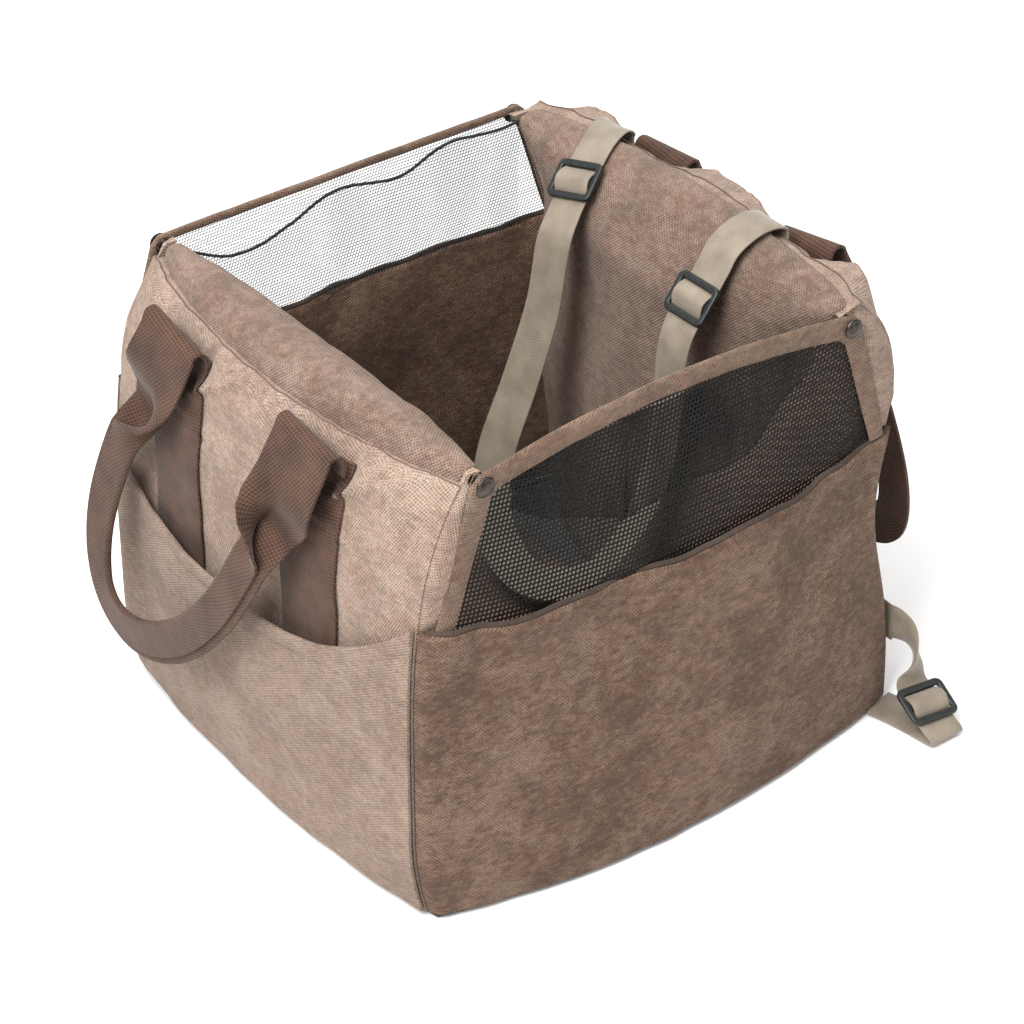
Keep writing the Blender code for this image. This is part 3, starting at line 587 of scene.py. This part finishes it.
# ---- camera, floor and light
def build_camera():
    back = Vector((sin(AZIMUTH) * cos(ELEVATION), -cos(AZIMUTH) * cos(ELEVATION),
                   sin(ELEVATION)))
    camera = linked("camera", bpy.data.cameras.new("camera"))
    camera.data.lens, camera.data.sensor_width = LENS, SENSOR_WIDTH
    camera.location = LOOK_AT + back * DISTANCE
    camera.rotation_euler = back.to_track_quat("Z", "Y").to_euler()
    bpy.context.scene.camera = camera


def add_light(name, place, target, size, power):
    lamp = bpy.data.lights.new(name, "AREA")
    lamp.size, lamp.energy = size, power
    made = linked(name, lamp)
    made.location = place
    made.rotation_euler = (Vector(place) - Vector(target)).to_track_quat("Z", "Y").to_euler()


def build_stage():
    reach = 6.0
    mesh = bpy.data.meshes.new("floor")
    corners = [(-reach, -reach, 0), (reach, -reach, 0), (reach, reach, 0), (-reach, reach, 0)]
    mesh.from_pydata(corners, [], [(0, 1, 2, 3)])
    floor = linked("floor", mesh)
    floor.location.z = -FLOOR_GAP
    made, tree, shader, _, where = blank("floor_look", Roughness=0.7)
    patches = mixed(tree, cloud(tree, where, 3.0), (0.9, 0.9, 0.9, 1), (0.93, 0.93, 0.925, 1))
    tree.links.new(patches, shader.inputs["Base Color"])
    mesh.materials.append(made)
    world = bpy.data.worlds.new("studio")
    world.use_nodes = True
    world.node_tree.nodes["Background"].inputs[0].default_value = (1.0, 1.0, 1.0, 1.0)
    world.node_tree.nodes["Background"].inputs[1].default_value = 0.72
    bpy.context.scene.world = world
    bpy.context.scene.view_settings.view_transform = "Standard"
    for name, place, target, size, power in (
            ("key", (-1.9, -0.7, 2.1), (0, 0, 0.15), 1.3, 52),
            ("top", (0.2, 0.5, 2.6), (0, 0, 0.1), 2.0, 32),
            ("fill", (1.3, -2.2, 1.3), (0, 0, 0.15), 1.8, 9),
            ("inside", (-0.7, -0.3, 1.45), (0.1, 0, 0.1), 0.8, 20)):
        add_light(name, place, target, size, power)


# ---- straps (the cords)
def strap_curve(route, per_span):
    centres = smooth_curve([centre for centre, _ in route], per_span)
    directions = smooth_curve([Vector(across).normalized() for _, across in route], per_span)
    return centres, directions


def build_strap(name, route, parts):
    if name == "tether_strap":  # both ends go down into the top seam
        first, last = [((0.16, y, 0.2945), width)
                       for y, (_, width) in ((0.0887, route[0]), (-0.057, route[-1]))]
        route = [first, *route, last]
    centres, directions = strap_curve(route, 8)
    made = declare(band(name + "_webbing_band", centres, directions, LOOKS["taupe_webbing"]),
                   "bag", "taupe_webbing", name)


def glide_axes(route, at):
    centres = [Vector(point) for point, _ in route]
    centre, along = centres[at], heading(centres, at).normalized()
    across = squared(Vector(route[at][1]), along)
    out = along.cross(across)
    if out.z < 0:
        across, out = -across, -out
    return centre, along, across, out


def rounded_rectangle(half_x, half_y, turn, centre_y=0.0):
    points = []
    for corner in range(4):
        sx, sy = (1, -1, -1, 1)[corner], (1, 1, -1, -1)[corner]
        for k in range(7):
            angle = pi / 2 * (corner + k / 6)
            points.append((sx * (half_x - turn) + turn * cos(angle),
                           centre_y + sy * (half_y - turn) + turn * sin(angle)))
    return points


def glide_frame(name, axes):
    """A moulded frame with two slots, filled between its outlines and rounded over."""
    centre, along, across, out = axes
    round_over = 0.0011
    curve = bpy.data.curves.new(name, "CURVE")
    curve.dimensions, curve.fill_mode = "2D", "BOTH"
    curve.extrude, curve.bevel_depth, curve.bevel_resolution = GLIDE_THICK / 2 - round_over, round_over, 3
    slot_x = GLIDE_WIDTH / 2 - GLIDE_SIDE + round_over
    slot_y = (GLIDE_LENGTH - 3 * GLIDE_BAR) / 4 + round_over
    shift = GLIDE_BAR / 2 + slot_y - round_over
    outlines = [rounded_rectangle(GLIDE_WIDTH / 2 - round_over, GLIDE_LENGTH / 2 - round_over, 0.0036)]
    outlines += [rounded_rectangle(slot_x, slot_y, 0.0022, side * shift) for side in (-1, 1)]
    for outline in outlines:
        spline = curve.splines.new("POLY")
        spline.points.add(len(outline) - 1)
        for point, (x, y) in zip(spline.points, outline):
            point.co = (x, y, 0.0, 1.0)
        spline.use_cyclic_u = True
    drawn = bpy.data.objects.new(name + "_outline", curve)
    mesh = bpy.data.meshes.new_from_object(drawn)
    bpy.data.objects.remove(drawn)
    place = Matrix((across, along, out)).transposed().to_4x4()
    place.translation = centre + out * (GLIDE_LIFT + GLIDE_THICK / 2)
    mesh.transform(place)
    return finish_mesh(name, mesh, LOOKS["black_plastic"], sharp=40)


def build_glide(node_name, route, at, body):
    """An adjuster, and the short length of strap that bridges over its middle bar."""
    axes = centre, along, across, out = glide_axes(route, at)
    moulded = glide_frame(node_name + "_moulding", axes)
    declare(moulded, body, "black_plastic", node_name)
    clear = STRAP_THICK / 2 + 0.0003
    low, high = 2 * clear, GLIDE_LIFT + GLIDE_THICK + clear
    reach = GLIDE_LENGTH / 2 - GLIDE_BAR - clear
    arch = [(-reach, low), (-reach * 0.8, low + 0.0016), (-GLIDE_BAR / 2 - clear, high - 0.0006),
            (0.0, high + 0.0004), (GLIDE_BAR / 2 + clear, high - 0.0006),
            (reach * 0.8, low + 0.0016), (reach, low)]
    centres = smooth_curve([centre + along * u + out * h for u, h in arch], 4)
    bridge = band(node_name + "_bridge", centres, [across] * len(centres), LOOKS["taupe_webbing"])
    declare(bridge, body, "taupe_webbing", node_name + "_webbing")
    return [moulded, bridge]


def build_straps():
    parts = build_glide("rear_tether_glide", TETHER_ROUTE, 4, "rear_glide")
    parts += build_glide("front_tether_glide", TETHER_ROUTE, 18, "front_glide")
    build_strap("tether_strap", TETHER_ROUTE, parts)
    build_strap("seat_strap", SEAT_ROUTE, build_glide("seat_strap_glide", SEAT_ROUTE, 8, "seat_glide"))


# ---- soft simulation
def applied(made):
    """The piece's mesh with its modifiers applied. The modifiers are removed."""
    graph = bpy.context.evaluated_depsgraph_get()
    mesh = bpy.data.meshes.new_from_object(made.evaluated_get(graph))
    made.modifiers.clear()
    return mesh


def inflated(made, pressure, cap, pinned):
    """Swell a closed mesh with a short cloth simulation, cap how far it moves, and smooth it."""
    frames, voxel, smoothings = 20, 0.005, 3
    bpy.context.view_layer.objects.active = made
    remesh = made.modifiers.new("remesh", "REMESH")
    remesh.mode, remesh.voxel_size = "VOXEL", voxel
    bpy.context.view_layer.update()
    mesh = made.data = applied(made)
    rest = np.array([v.co for v in mesh.vertices])
    group = made.vertex_groups.new(name="pinned")
    for vertex in mesh.vertices:
        weight = pinned(vertex.co)
        if weight > 0:
            group.add([vertex.index], weight, "REPLACE")
    cloth = made.modifiers.new("cloth", "CLOTH")
    settings = cloth.settings
    settings.use_pressure, settings.uniform_pressure_force = True, pressure
    settings.effector_weights.gravity = 0
    settings.vertex_group_mass = "pinned"
    settings.quality, settings.mass = 5, 0.3
    settings.tension_stiffness = settings.compression_stiffness = 15
    cloth.point_cache.frame_start, cloth.point_cache.frame_end = 1, frames
    for moment in range(1, frames + 1):
        bpy.context.scene.frame_set(moment)
    swollen = applied(made)
    moved = np.array([v.co for v in swollen.vertices]) - rest
    far = np.linalg.norm(moved, axis=1)
    scale = np.where(far > 1e-9, np.tanh(far / cap) * cap / np.maximum(far, 1e-9), 1.0)
    swollen.vertices.foreach_set("co", (rest + moved * scale[:, None]).ravel())
    made.data = swollen
    bpy.context.scene.frame_set(1)
    made.vertex_groups.clear()
    made.data.update()
    bm = bmesh.new()
    bm.from_mesh(made.data)
    for _ in range(smoothings):
        bmesh.ops.smooth_vert(bm, verts=bm.verts, factor=0.5, use_axis_x=True, use_axis_y=True,
                              use_axis_z=True)
    bm.to_mesh(made.data)
    bm.free()
    subdivide = made.modifiers.new("subdivide", "SUBSURF")
    subdivide.levels = subdivide.render_levels = 1
    made.data = applied(made)
    made.data.shade_smooth()


# ---- ends
def bolster_section(end, y):
    """The cushion's outline in one upright slice, drawn a little small because it swells later."""
    share, inset = corner_share(y), 0.0015
    skin = PANEL + BOLSTER_GAP + inset
    thick = blend(BOLSTER_MID[end], BOLSTER_CORNER[end], share) - inset
    inner_top = SEAM_TOP[end] - blend(BOLSTER_DROP[end], 0.002, share)
    outer = [(end_surface(end, y, z) - skin, z) for z in steps(BOLSTER_FOOT, SEAM_TOP[end], 24)]
    inner = [(end_surface(end, y, z) - PANEL - BOLSTER_GAP - thick, z)
             for z in steps(inner_top, BOLSTER_FOOT, 20)]
    shoulder = inner[0]
    middle_x, middle_z = (outer[-1][0] + shoulder[0]) / 2, (SEAM_TOP[end] + inner_top) / 2
    half_x, half_z = (outer[-1][0] - shoulder[0]) / 2, (SEAM_TOP[end] - inner_top) / 2
    crown = BOLSTER_TOP[end] + BOLSTER_PUFF[end] - middle_z
    top = []
    for k in range(1, 14):
        angle = pi * k / 14
        top.append((middle_x + half_x * cos(angle),
                    middle_z + half_z * cos(angle) + crown * sin(angle)))
    return outer + top + inner


def build_bolster(end, side):
    top = SEAM_TOP[end]
    stations = steps(-BOLSTER_HALF_Y + 0.001, BOLSTER_HALF_Y - 0.001, 40)
    rows = [[Vector((side * x, y, z)) for x, z in bolster_section(end, y)] for y in stations]
    made = surface(end + "_cushion", rows, LOOKS["velour"], closed=True)

    def pinned(co):
        beyond = end_surface(end, co.y, min(co.z, top)) - abs(co.x)
        held = 1.0 if beyond < 0.008 and co.z < top + 0.003 else 0.0
        return max(held, 1.0 if abs(co.y) > BOLSTER_HALF_Y - 0.006 else 0.0,
                   1.0 if co.z < BOLSTER_FOOT + 0.004 else 0.0)

    inflated(made, pressure=4.0, cap=0.009, pinned=pinned)
    for vertex in made.data.vertices:
        co = vertex.co
        limit = end_surface(end, co.y, min(co.z, top)) - PANEL - 0.0006
        if abs(co.x) > limit and co.z < top + 0.002:
            co.x = side * limit
        rumple = 0.0016 * wander(co.x, co.y, co.z, 0.06, 1 + side)
        rumple += 0.0006 * wander(co.x, co.y, co.z, 0.018, 3 + side)
        if abs(co.x) < limit - 0.004:
            co.x -= side * rumple
            co.z += rumple * smooth((co.z - 0.2) / 0.08)
        co.y = max(min(co.y, BOLSTER_HALF_Y), -BOLSTER_HALF_Y)
    box_uv(made)
    declare(made, "bag", "velour", end + "_bolster")


def feet(side):
    """Where the handle's feet are along an end. The two ends are turned half round."""
    return [-foot if side > 0 else foot for foot in HANDLE_FEET]


def roll_share(side, y):
    """How fully an end panel puffs out: not at its corners, and little at a handle's feet."""
    share = smooth((BOLSTER_HALF_Y - abs(y)) / 0.03)
    for at in feet(side):
        share *= 1 - 0.85 * exp(-((y - at) / 0.036) ** 4)
    return share


def end_relief(end, side, y, z):
    """How far an end panel's fabric stands out or in: slack, puckers at the top seam and creases."""
    drop = SEAM_TOP[end] - z
    roll = END_ROLL[end] * hump((drop - ROLL_DROP) / ROLL_DROP) * roll_share(side, y)
    slack = 0.0018 * wander(0, y, z, 0.05, 5 + side) + 0.0007 * wander(0, y, z, 0.017, 15 + side)
    puckers = 0.0016 * smooth(1 - drop / 0.026) * wander(side, y, z * 0.25, 0.01, 9)
    sewn_down = 0.0016 * smooth(1 - drop / 0.005)
    fade = smooth(drop / 0.005) * smooth(1 - drop / 0.08)
    creases = 0.0
    for at in feet(side):
        for reach, lean in CREASES:
            across = (y - at - reach + lean * (drop - 0.012)) / CREASE_WIDTH
            creases += CREASE_HEIGHT * fade * (hump(across) - 0.7 * hump(across - 1.7))
    return roll + slack + puckers - sewn_down + creases


def end_point(end, side, y, z, out=0.0):
    """A point on an end panel's outer face, whose fabric rolls up and over beside the top seam."""
    drop = SEAM_TOP[end] - z
    lift = END_LIFT[end] * hump((drop - LIFT_DROP) / LIFT_REACH) * roll_share(side, y)
    rise = end_relief(end, side, y, z) * smooth((BOLSTER_HALF_Y - abs(y)) / 0.01)
    return Vector((side * (end_surface(end, y, z) + rise + out), y, z + lift))


def build_end_panel(end, side):
    rows = []
    levels = steps(WALL_FOOT, SEAM_TOP[end], 110)
    for y in steps(-BOLSTER_HALF_Y, BOLSTER_HALF_Y, 150):
        outer = [end_point(end, side, y, z) for z in levels]
        allowance = [outer[-1] - Vector((side * LIP, 0, fall)) for fall in (0.003, 0.0044)]
        inner = [end_point(end, side, y, z, -PANEL) for z in reversed(levels)]
        inner[0].z -= 0.0016
        rows.append(outer + allowance + inner)
    made = fabric(end + "_end_shell", rows, LOOKS["velour_light"], "velour_light", end + "_end_panel")


def build_gusset(end, side, which):
    """The puffed corner where an end panel turns in behind the flap's edge."""
    facing, top = SIDE[which], SEAM_TOP[end]
    rows = []
    for up in shares(44):
        z = blend(SEAM_END[which] - 0.006, top - 0.001, up)
        risen = (GUSSET_TOP - top) * up ** 6
        full = sin(pi * min(up / 0.95, 1.0)) ** 0.6
        edge = side * (end_surface(end, BOLSTER_HALF_Y, min(z, top)) - 0.0012)
        tucked = side * (blend(FLAP_FOOT_X, FLAP_TOP_X, flap_up(which, z)) - 0.006 - 0.008 * up ** 4)
        outer = []
        for t in shares(16):
            pinch = 0.0012 * wander(t * 0.02, side, z, 0.011, 21 + facing)
            y = blend(BOLSTER_HALF_Y - 0.0015, BOLSTER_HALF_Y + 0.0022, t)
            y += (GUSSET_PUFF * full + pinch) * sin(pi * t) ** 0.8
            x = blend(edge, tucked, t) + side * 0.0035 * sin(pi * min(2 * t, 1.0)) * full
            outer.append(Vector((x, facing * y, z + risen * smooth(2 * t))))
        inner = [Vector((blend(edge, tucked, t), facing * (BOLSTER_HALF_Y - 0.0025),
                         z + risen * smooth(2 * t))) for t in steps(0.95, 0.05, 6)]
        rows.append(outer + inner)
    made = surface(f"{which}_{end}_gusset", rows, LOOKS["velour_light"], closed=True)
    declare(made, "bag", "velour_light")


def build_pocket():
    gap, thick = FACET_GAP + 0.0006, PANEL * 0.7
    rows = []
    for y in steps(-POCKET_HALF_Y, POCKET_HALF_Y, 130):
        edge = pocket_edge(y)
        outer, inner = [], []
        for t in shares(70):
            z = blend(POCKET_FOOT, edge, t)
            swell = POCKET_SWELL * (1 - (y / POCKET_HALF_Y) ** 2) * t ** 1.5
            slack = 0.0018 * wander(2, y, z, 0.05, 4) + 0.0007 * wander(2, y, z, 0.016, 8)
            slack *= smooth((POCKET_HALF_Y - abs(y)) / 0.02)
            x = end_surface("left", y, z) + swell + slack + gap
            below = edge - z
            hem = 0.0009 * smooth(1 - (below - 0.009) / 0.002)
            hem -= 0.0006 * hump((below - 0.011) / 0.001)
            outer.append(Vector((-x - thick - hem, y, z)))
            inner.append(Vector((-x, y, z)))
        crest = [Vector((-(abs(outer[-1].x) * f + abs(inner[-1].x) * (1 - f)), y, edge + 0.0011))
                 for f in (0.75, 0.25)]
        rows.append(outer + crest + inner[::-1])
    made = fabric("pocket_panel", rows, LOOKS["velour_pocket"], "velour_light", "slip_pocket")


# ---- front and back walls
def wall_relief(which, share, z, seam):
    """How far a wall's fabric stands out: slack all over, and gathers under the mesh seam."""
    side = SIDE[which]
    x = share * 0.17
    slack = 0.0026 * wander(x, side, z * 0.7, 0.06, 2 + side)
    slack += 0.0009 * wander(x, side, z, 0.022, 6 + side)
    near = smooth(1 - (seam - z) / GATHER_REACH)
    gathers = GATHER_HEIGHT * near * (0.7 + wander(x, side, z * 0.3, 0.026, 11 + side))
    return (slack + gathers) * smooth((1 - abs(share)) / 0.1)


def wavy_seam(share, which):
    return mesh_seam(share, which) + 0.0016 * wander(share, SIDE[which], 0, 0.14, 3)


def build_wall(which):
    side = SIDE[which]
    rows = []
    for share in steps(-1.0, 1.0, 170):
        seam = wavy_seam(share, which)
        near_corner = max(abs(share) - 0.955, 0) / 0.045
        turn = 0.0064 * (1 - sqrt(max(1 - near_corner ** 2, 0)))
        outer, inner = [], []
        for z in steps(WALL_FOOT, seam - 0.0015, 70):
            relief = wall_relief(which, share, z, seam)
            skin = wall_surface(share, z) + relief - turn
            x = corner_x(share, z)
            outer.append(Vector((x, side * skin, z)))
            inner.append(Vector((x, side * (skin - WALL + turn), z)))
        out, back = outer[-1], inner[-1]
        lip = [out.lerp(back, f) + Vector((0, 0, 0.0015 - 0.0008 * (f == 0.5))) for f in (0.2, 0.5, 0.8)]
        rows.append(outer + lip + inner[::-1])
    # The walls take a darker copy of the bolster's velour, as painted shade.
    made = fabric(which + "_shell", rows, LOOKS["velour_wall"], "velour", which + "_wall")


# ---- flaps
def flap_point(which, x, z, lift=0.0):
    y = flap_surface(min(abs(x) / FLAP_FOOT_X, 1.0), flap_up(which, z)) + lift
    return Vector((x, SIDE[which] * y, z))


def binding_route(which, inset):
    foot_x, top_x = FLAP_FOOT_X - inset, FLAP_TOP_X - inset
    corner = FLAP_TOP_CORNER - inset
    rise = FLAP_TOP_MID[which] - FLAP_TOP_CORNER
    sides = []
    for side in (-1, 1):
        foot = mesh_seam_at(side * FLAP_FOOT_X, which) + 0.0006
        sides.append([(side * blend(foot_x, top_x, t), blend(foot, corner, t))
                      for t in steps(0.0, 0.94, 14)])
    top = [(top_x * f * 0.97, corner + rise * (1 - f * f)) for f in steps(-1.0, 1.0, 60)]
    return sides[0] + top + sides[1][::-1]


def build_binding(which):
    """The fabric strip folded over a flap's free edges."""
    outer, inner = binding_route(which, 0.0), binding_route(which, BINDING_WIDTH)
    reach = 0.55 if which == "back" else 1.0  # the back one is narrower outside
    profile = [(share * (reach if out > 0 else 1.0), out) for share, out in BINDING_PROFILE]
    rows = []
    for (x0, z0), (x1, z1) in zip(outer, inner):
        places = [(blend(x0, x1, f), blend(z0, z1, f), lift) for f, lift in profile]
        rows.append([flap_point(which, x, z, lift * BINDING + 0.0008 * wander(x, SIDE[which], z, 0.02, 5))
                     for x, z, lift in places])
    centres = [(ring[0] + ring[8]) / 2 for ring in rows]
    made = surface(which + "_edge_binding", rows, LOOKS["velour_binding"], closed=True,
                   along=lengths_along(centres))
    declare(made, which + "_flap", "velour", which + "_flap_binding")


def build_net(which):
    """The flap's mesh, from inside its binding down to a little below the wall's seam."""
    side, seam = SIDE[which], SEAM_MID[which]
    covered = 0.4 * BINDING_WIDTH
    foot_x, top_x = FLAP_FOOT_X - covered, FLAP_TOP_X - covered
    rows = []
    for up in shares(40):
        row = []
        for share in steps(-1.0, 1.0, 110):
            foot = mesh_seam_at(share * foot_x, which) - 0.003
            top = FLAP_TOP_CORNER - covered
            top += (FLAP_TOP_MID[which] - FLAP_TOP_CORNER) * (1 - share * share)
            x, z = share * blend(foot_x, top_x, up), blend(foot, top, up)
            slack = 4 * up * (1 - up) * (1 - share ** 4)
            billow = 0.0035 * slack * wander(x, side, z * 0.6, 0.045, 7 + side)
            row.append(flap_point(which, x, z, billow))
        rows.append(row)
    made = surface(which + "_mesh_screen", rows, NET_LOOKS[which])
    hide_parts(which + "_flap_net")
    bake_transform(made)


def sagging_rim(share):
    """Height of the back layer's free edge, which hangs from three points."""
    k = min((share + 1) / 2, 0.9999) * (len(DRAPE_RIM) - 1)
    low = int(k)
    return blend(DRAPE_RIM[low], DRAPE_RIM[low + 1], smooth(k - low))


def drape_point(which, share, up):
    """A point of the loose layer; up runs from its free edge to its sewn edge."""
    loose = 1 - up
    x = share * DRAPE_HALF_X[which]
    depth = DRAPE_BACK + 0.004 + 0.004 * sin(share * 9.0 + 3.0 * up) * (0.4 + 0.6 * loose)
    if which == "back":
        z = blend(sagging_rim(share), DRAPE_BACK_LOW, up)
    else:
        z = blend(blend(DRAPE_FOOT_MID, DRAPE_FOOT_END, share * share), DRAPE_TOP, up)
        pleat = (share - PLEAT_AT) / 0.3
        if abs(pleat) < 1:
            x += 0.017 * loose * sin(pi * pleat)
            depth += 0.005 * loose * cos(pi * pleat / 2)
    return flap_point(which, x, z, -depth)


def build_drape(which):
    """The loose second layer of mesh inside the flap, with its soft folds and rolled lower edge."""
    rows = [[drape_point(which, share, up) for share in steps(-1.0, 1.0, 130)]
            for up in shares(26)]
    made = surface(which + "_mesh_drape", rows, DRAPE_LOOKS[which])
    declare(made, which + "_flap", "black_net", which + "_net_drape")
    edge = [drape_point(which, share, 0.0) for share in steps(-1.0, 1.0, 90)]
    rim = tube(which + "_drape_rim", edge, 0.001 if which == "back" else 0.0005, LOOKS["black_rim"])
    declare(rim, which + "_flap", "black_net")


def build_seams():
    """Dark sewn lines along the top, corner and mesh seams."""
    lines = {}
    for end, side in (("left", -1.0), ("right", 1.0)):
        lines[end + "_top_seam"] = [end_point(end, side, y, SEAM_TOP[end], -0.0006)
                                    for y in steps(-BOLSTER_HALF_Y, BOLSTER_HALF_Y, 100)]
        for which, facing in SIDE.items():
            lines[f"{which}_{end}_corner_seam"] = [
                (side * (end_surface(end, BOLSTER_HALF_Y, z) + 0.0001),
                 facing * (BOLSTER_HALF_Y + 0.0004), z)
                for z in steps(WALL_FOOT + 0.002, SEAM_END[which] - 0.004, 50)]
    for which, facing in SIDE.items():
        line = []
        for share in steps(-0.985, 0.985, 110):
            z = wavy_seam(share, which)
            skin = wall_surface(share, z) + wall_relief(which, share, z, z)
            line.append((corner_x(share, z), facing * (skin - WALL / 2), z + 0.0006))
        lines[which + "_mesh_seam"] = line
    for name, line in lines.items():
        radius, look = (0.0017, LOOKS["mesh_seam"]) if "mesh" in name else (0.0005, LOOKS["seam_thread"])
        declare(tube(name, [Vector(point) for point in line], radius, look), "bag", "velour_dark")


def build_snaps(which):
    side = SIDE[which]
    for name in ("left", "right"):
        cap = f"{which}_{name}_snap_cap"
        low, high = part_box(cap)
        centre = (low + high) / 2
        centre.y = high.y if side < 0 else low.y
        radius, height = (high.x - low.x) / 2, high.y - low.y
        drawn = [(r * radius, h * height) for r, h in SNAP_PROFILE]
        made = turned(cap + "_dome", drawn, centre, (0, side, 0), LOOKS["gunmetal"])
        declare(made, which + "_flap", "gunmetal", cap)


# ---- handles
def folded_section(fold, thick):
    """A 50 mm strip whose one half turns over onto the other as fold goes from 0 to 1."""
    half, tight = WEBBING / 2, 0.0024
    still, turning = 12, 24  # points on each half
    line, x, y = [(-half + half * k / still, 0.0, 0.0) for k in range(still)], 0.0, 0.0
    for k in range(turning + 1):
        angle = pi * fold * min(half * k / turning / (tight * pi / 2), 1.0)
        line.append((x, y, angle))
        x += cos(angle) * half / turning
        y += sin(angle) * half / turning
    low, high = min(p[0] for p in line), max(p[0] for p in line)
    shift_x, shift_y = (low + high) / 2, (line[0][1] + line[-1][1]) / 2
    front = [(px - shift_x - sin(a) * thick / 2, py - shift_y + cos(a) * thick / 2)
             for px, py, a in line]
    rear = [(px - shift_x + sin(a) * thick / 2, py - shift_y - cos(a) * thick / 2)
            for px, py, a in reversed(line)]
    return front + rear


def turn_end(point, side):
    return Vector((-point[0], -point[1], point[2])) if side > 0 else Vector(point)


def build_handle(name, side):
    first, last = HANDLE_FEET
    route = [(x, first, z) for x, z in HAIRPIN] + HANDLE_ROUTE[1:-1]
    route += [(x, last, z) for x, z in reversed(HAIRPIN)]
    centres = smooth_curve(route, 7)
    lengths = lengths_along(centres)
    rows = []

    def in_plane(i):
        return Vector((-1.0, 0.0, 0.0)).cross(heading(centres, i)).normalized()

    free = [i for i, length in enumerate(lengths) if HANDLE_FLAT < length < lengths[-1] - HANDLE_FLAT]
    for i, length in enumerate(lengths):
        from_end = min(length, lengths[-1] - length)
        inwards = -1.0 if length < lengths[-1] / 2 else 1.0
        leaving = in_plane(min(max(i, free[0]), free[-1]))
        ease = 0.5 * smooth(from_end / 0.01) + 0.5 * smooth((from_end - TURN_FROM) / TURN_LENGTH)
        across = (leaving * ease + Vector((0.0, inwards, 0.0)) * (1 - ease)).normalized()
        along = heading(centres, i).normalized()
        fold = smooth((from_end - FOLD_FROM) / FOLD_LENGTH)
        if fold > 0:
            across = squared(across, along)
        out = along.cross(across).normalized()
        rows.append([turn_end(centres[i] + across * u + out * v, side)
                     for u, v in folded_section(fold, WEBBING_THICK)])
    made = surface(name + "_carry_handle", rows, LOOKS["brown_webbing"], closed=True, along=lengths)
    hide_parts(name + "_handle")
    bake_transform(made)

    levels = steps(ANCHOR_FOOT, ANCHOR_TOP, 60)
    for place, at in zip(("rear", "front") if side < 0 else ("front", "rear"), feet(side)):
        rows = [[end_point(name, side, at + u, z, FACET_GAP + WEBBING_THICK / 2 + v)
                 for u, v in rounded_band(WEBBING, WEBBING_THICK, 4)] for z in levels]
        made = surface(f"{name}_{place}_sewn_webbing", rows, LOOKS["brown_webbing"], closed=True,
                       along=[z - ANCHOR_FOOT for z in levels])
        declare(made, "bag", "brown_webbing", f"{name}_{place}_handle_anchor")


# ---- base
def build_base():
    low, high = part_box("floor_mat")
    half_x, half_y, middle = (high.x - low.x) / 2, (high.y - low.y) / 2, (high.z + low.z) / 2
    half_thick, corner, edge_round = 0.0085, 0.016, 0.007
    rows = []
    for t in steps(-1.0, 1.0, 8):
        inset = edge_round * (1 - sqrt(max(1 - t * t, 0))) + 0.003
        rows.append([Vector((x, y, middle + t * half_thick))
                     for x, y in rounded_rectangle(half_x - inset, half_y - inset, corner)])
    mat = surface("floor_cushion", rows, LOOKS["velour_dark"], closed=True)
    inflated(mat, pressure=3.0, cap=0.003, pinned=lambda co: 1.0 if co.z < low.z + 0.003 else 0.0)
    for vertex in mat.data.vertices:
        co = vertex.co
        co.z = max(co.z, low.z + 0.0003)
        co.z += 0.0012 * wander(co.x, co.y, 0, 0.05, 2) * smooth((co.z - middle) / 0.006)
    box_uv(mat)
    declare(mat, "bag", "velour_dark", "floor_mat")

    low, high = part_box("underside_panel")
    rows = []
    for t in shares(4):
        inset = 0.0014 * (2 * t - 1) ** 4
        ring = []
        for side in range(4):
            for k in range(24):
                share = 2 * k / 24 - 1
                long_x, long_y = [blend(middle, corner, share * share) - inset
                                  for middle, corner in zip(FELT_MIDDLE, FELT_CORNER)]
                short_x, short_y = [corner - inset for corner in FELT_CORNER]
                x, y = [(share * short_x, -long_y), (long_x, share * short_y),
                        (-share * short_x, long_y), (-long_x, -share * short_y)][side]
                ring.append(Vector((x, y, blend(low.z, high.z, t))))
        rows.append(ring)
    fabric("underside_felt", rows, LOOKS["black_felt"], "black_felt", "underside_panel")


# ---- assembly
build_camera()
build_stage()
build_straps()
for end_name, end_side in (("left", -1.0), ("right", 1.0)):
    build_bolster(end_name, end_side)
    build_end_panel(end_name, end_side)
    build_handle(end_name, end_side)
    for wall_name in ("front", "back"):
        build_gusset(end_name, end_side, wall_name)
build_pocket()
for wall_name in ("front", "back"):
    build_wall(wall_name)
    build_binding(wall_name)
    build_net(wall_name)
    build_drape(wall_name)
    build_snaps(wall_name)
build_seams()
build_base()
slots = {m["node"]: m["material_slot"] for m in frame["record"]["subparts"]}
for name, made in frame["nodes"].items():
    if not made.hide_render:
        for place in made.material_slots:
            place.material = LOOKS[slots[name]]
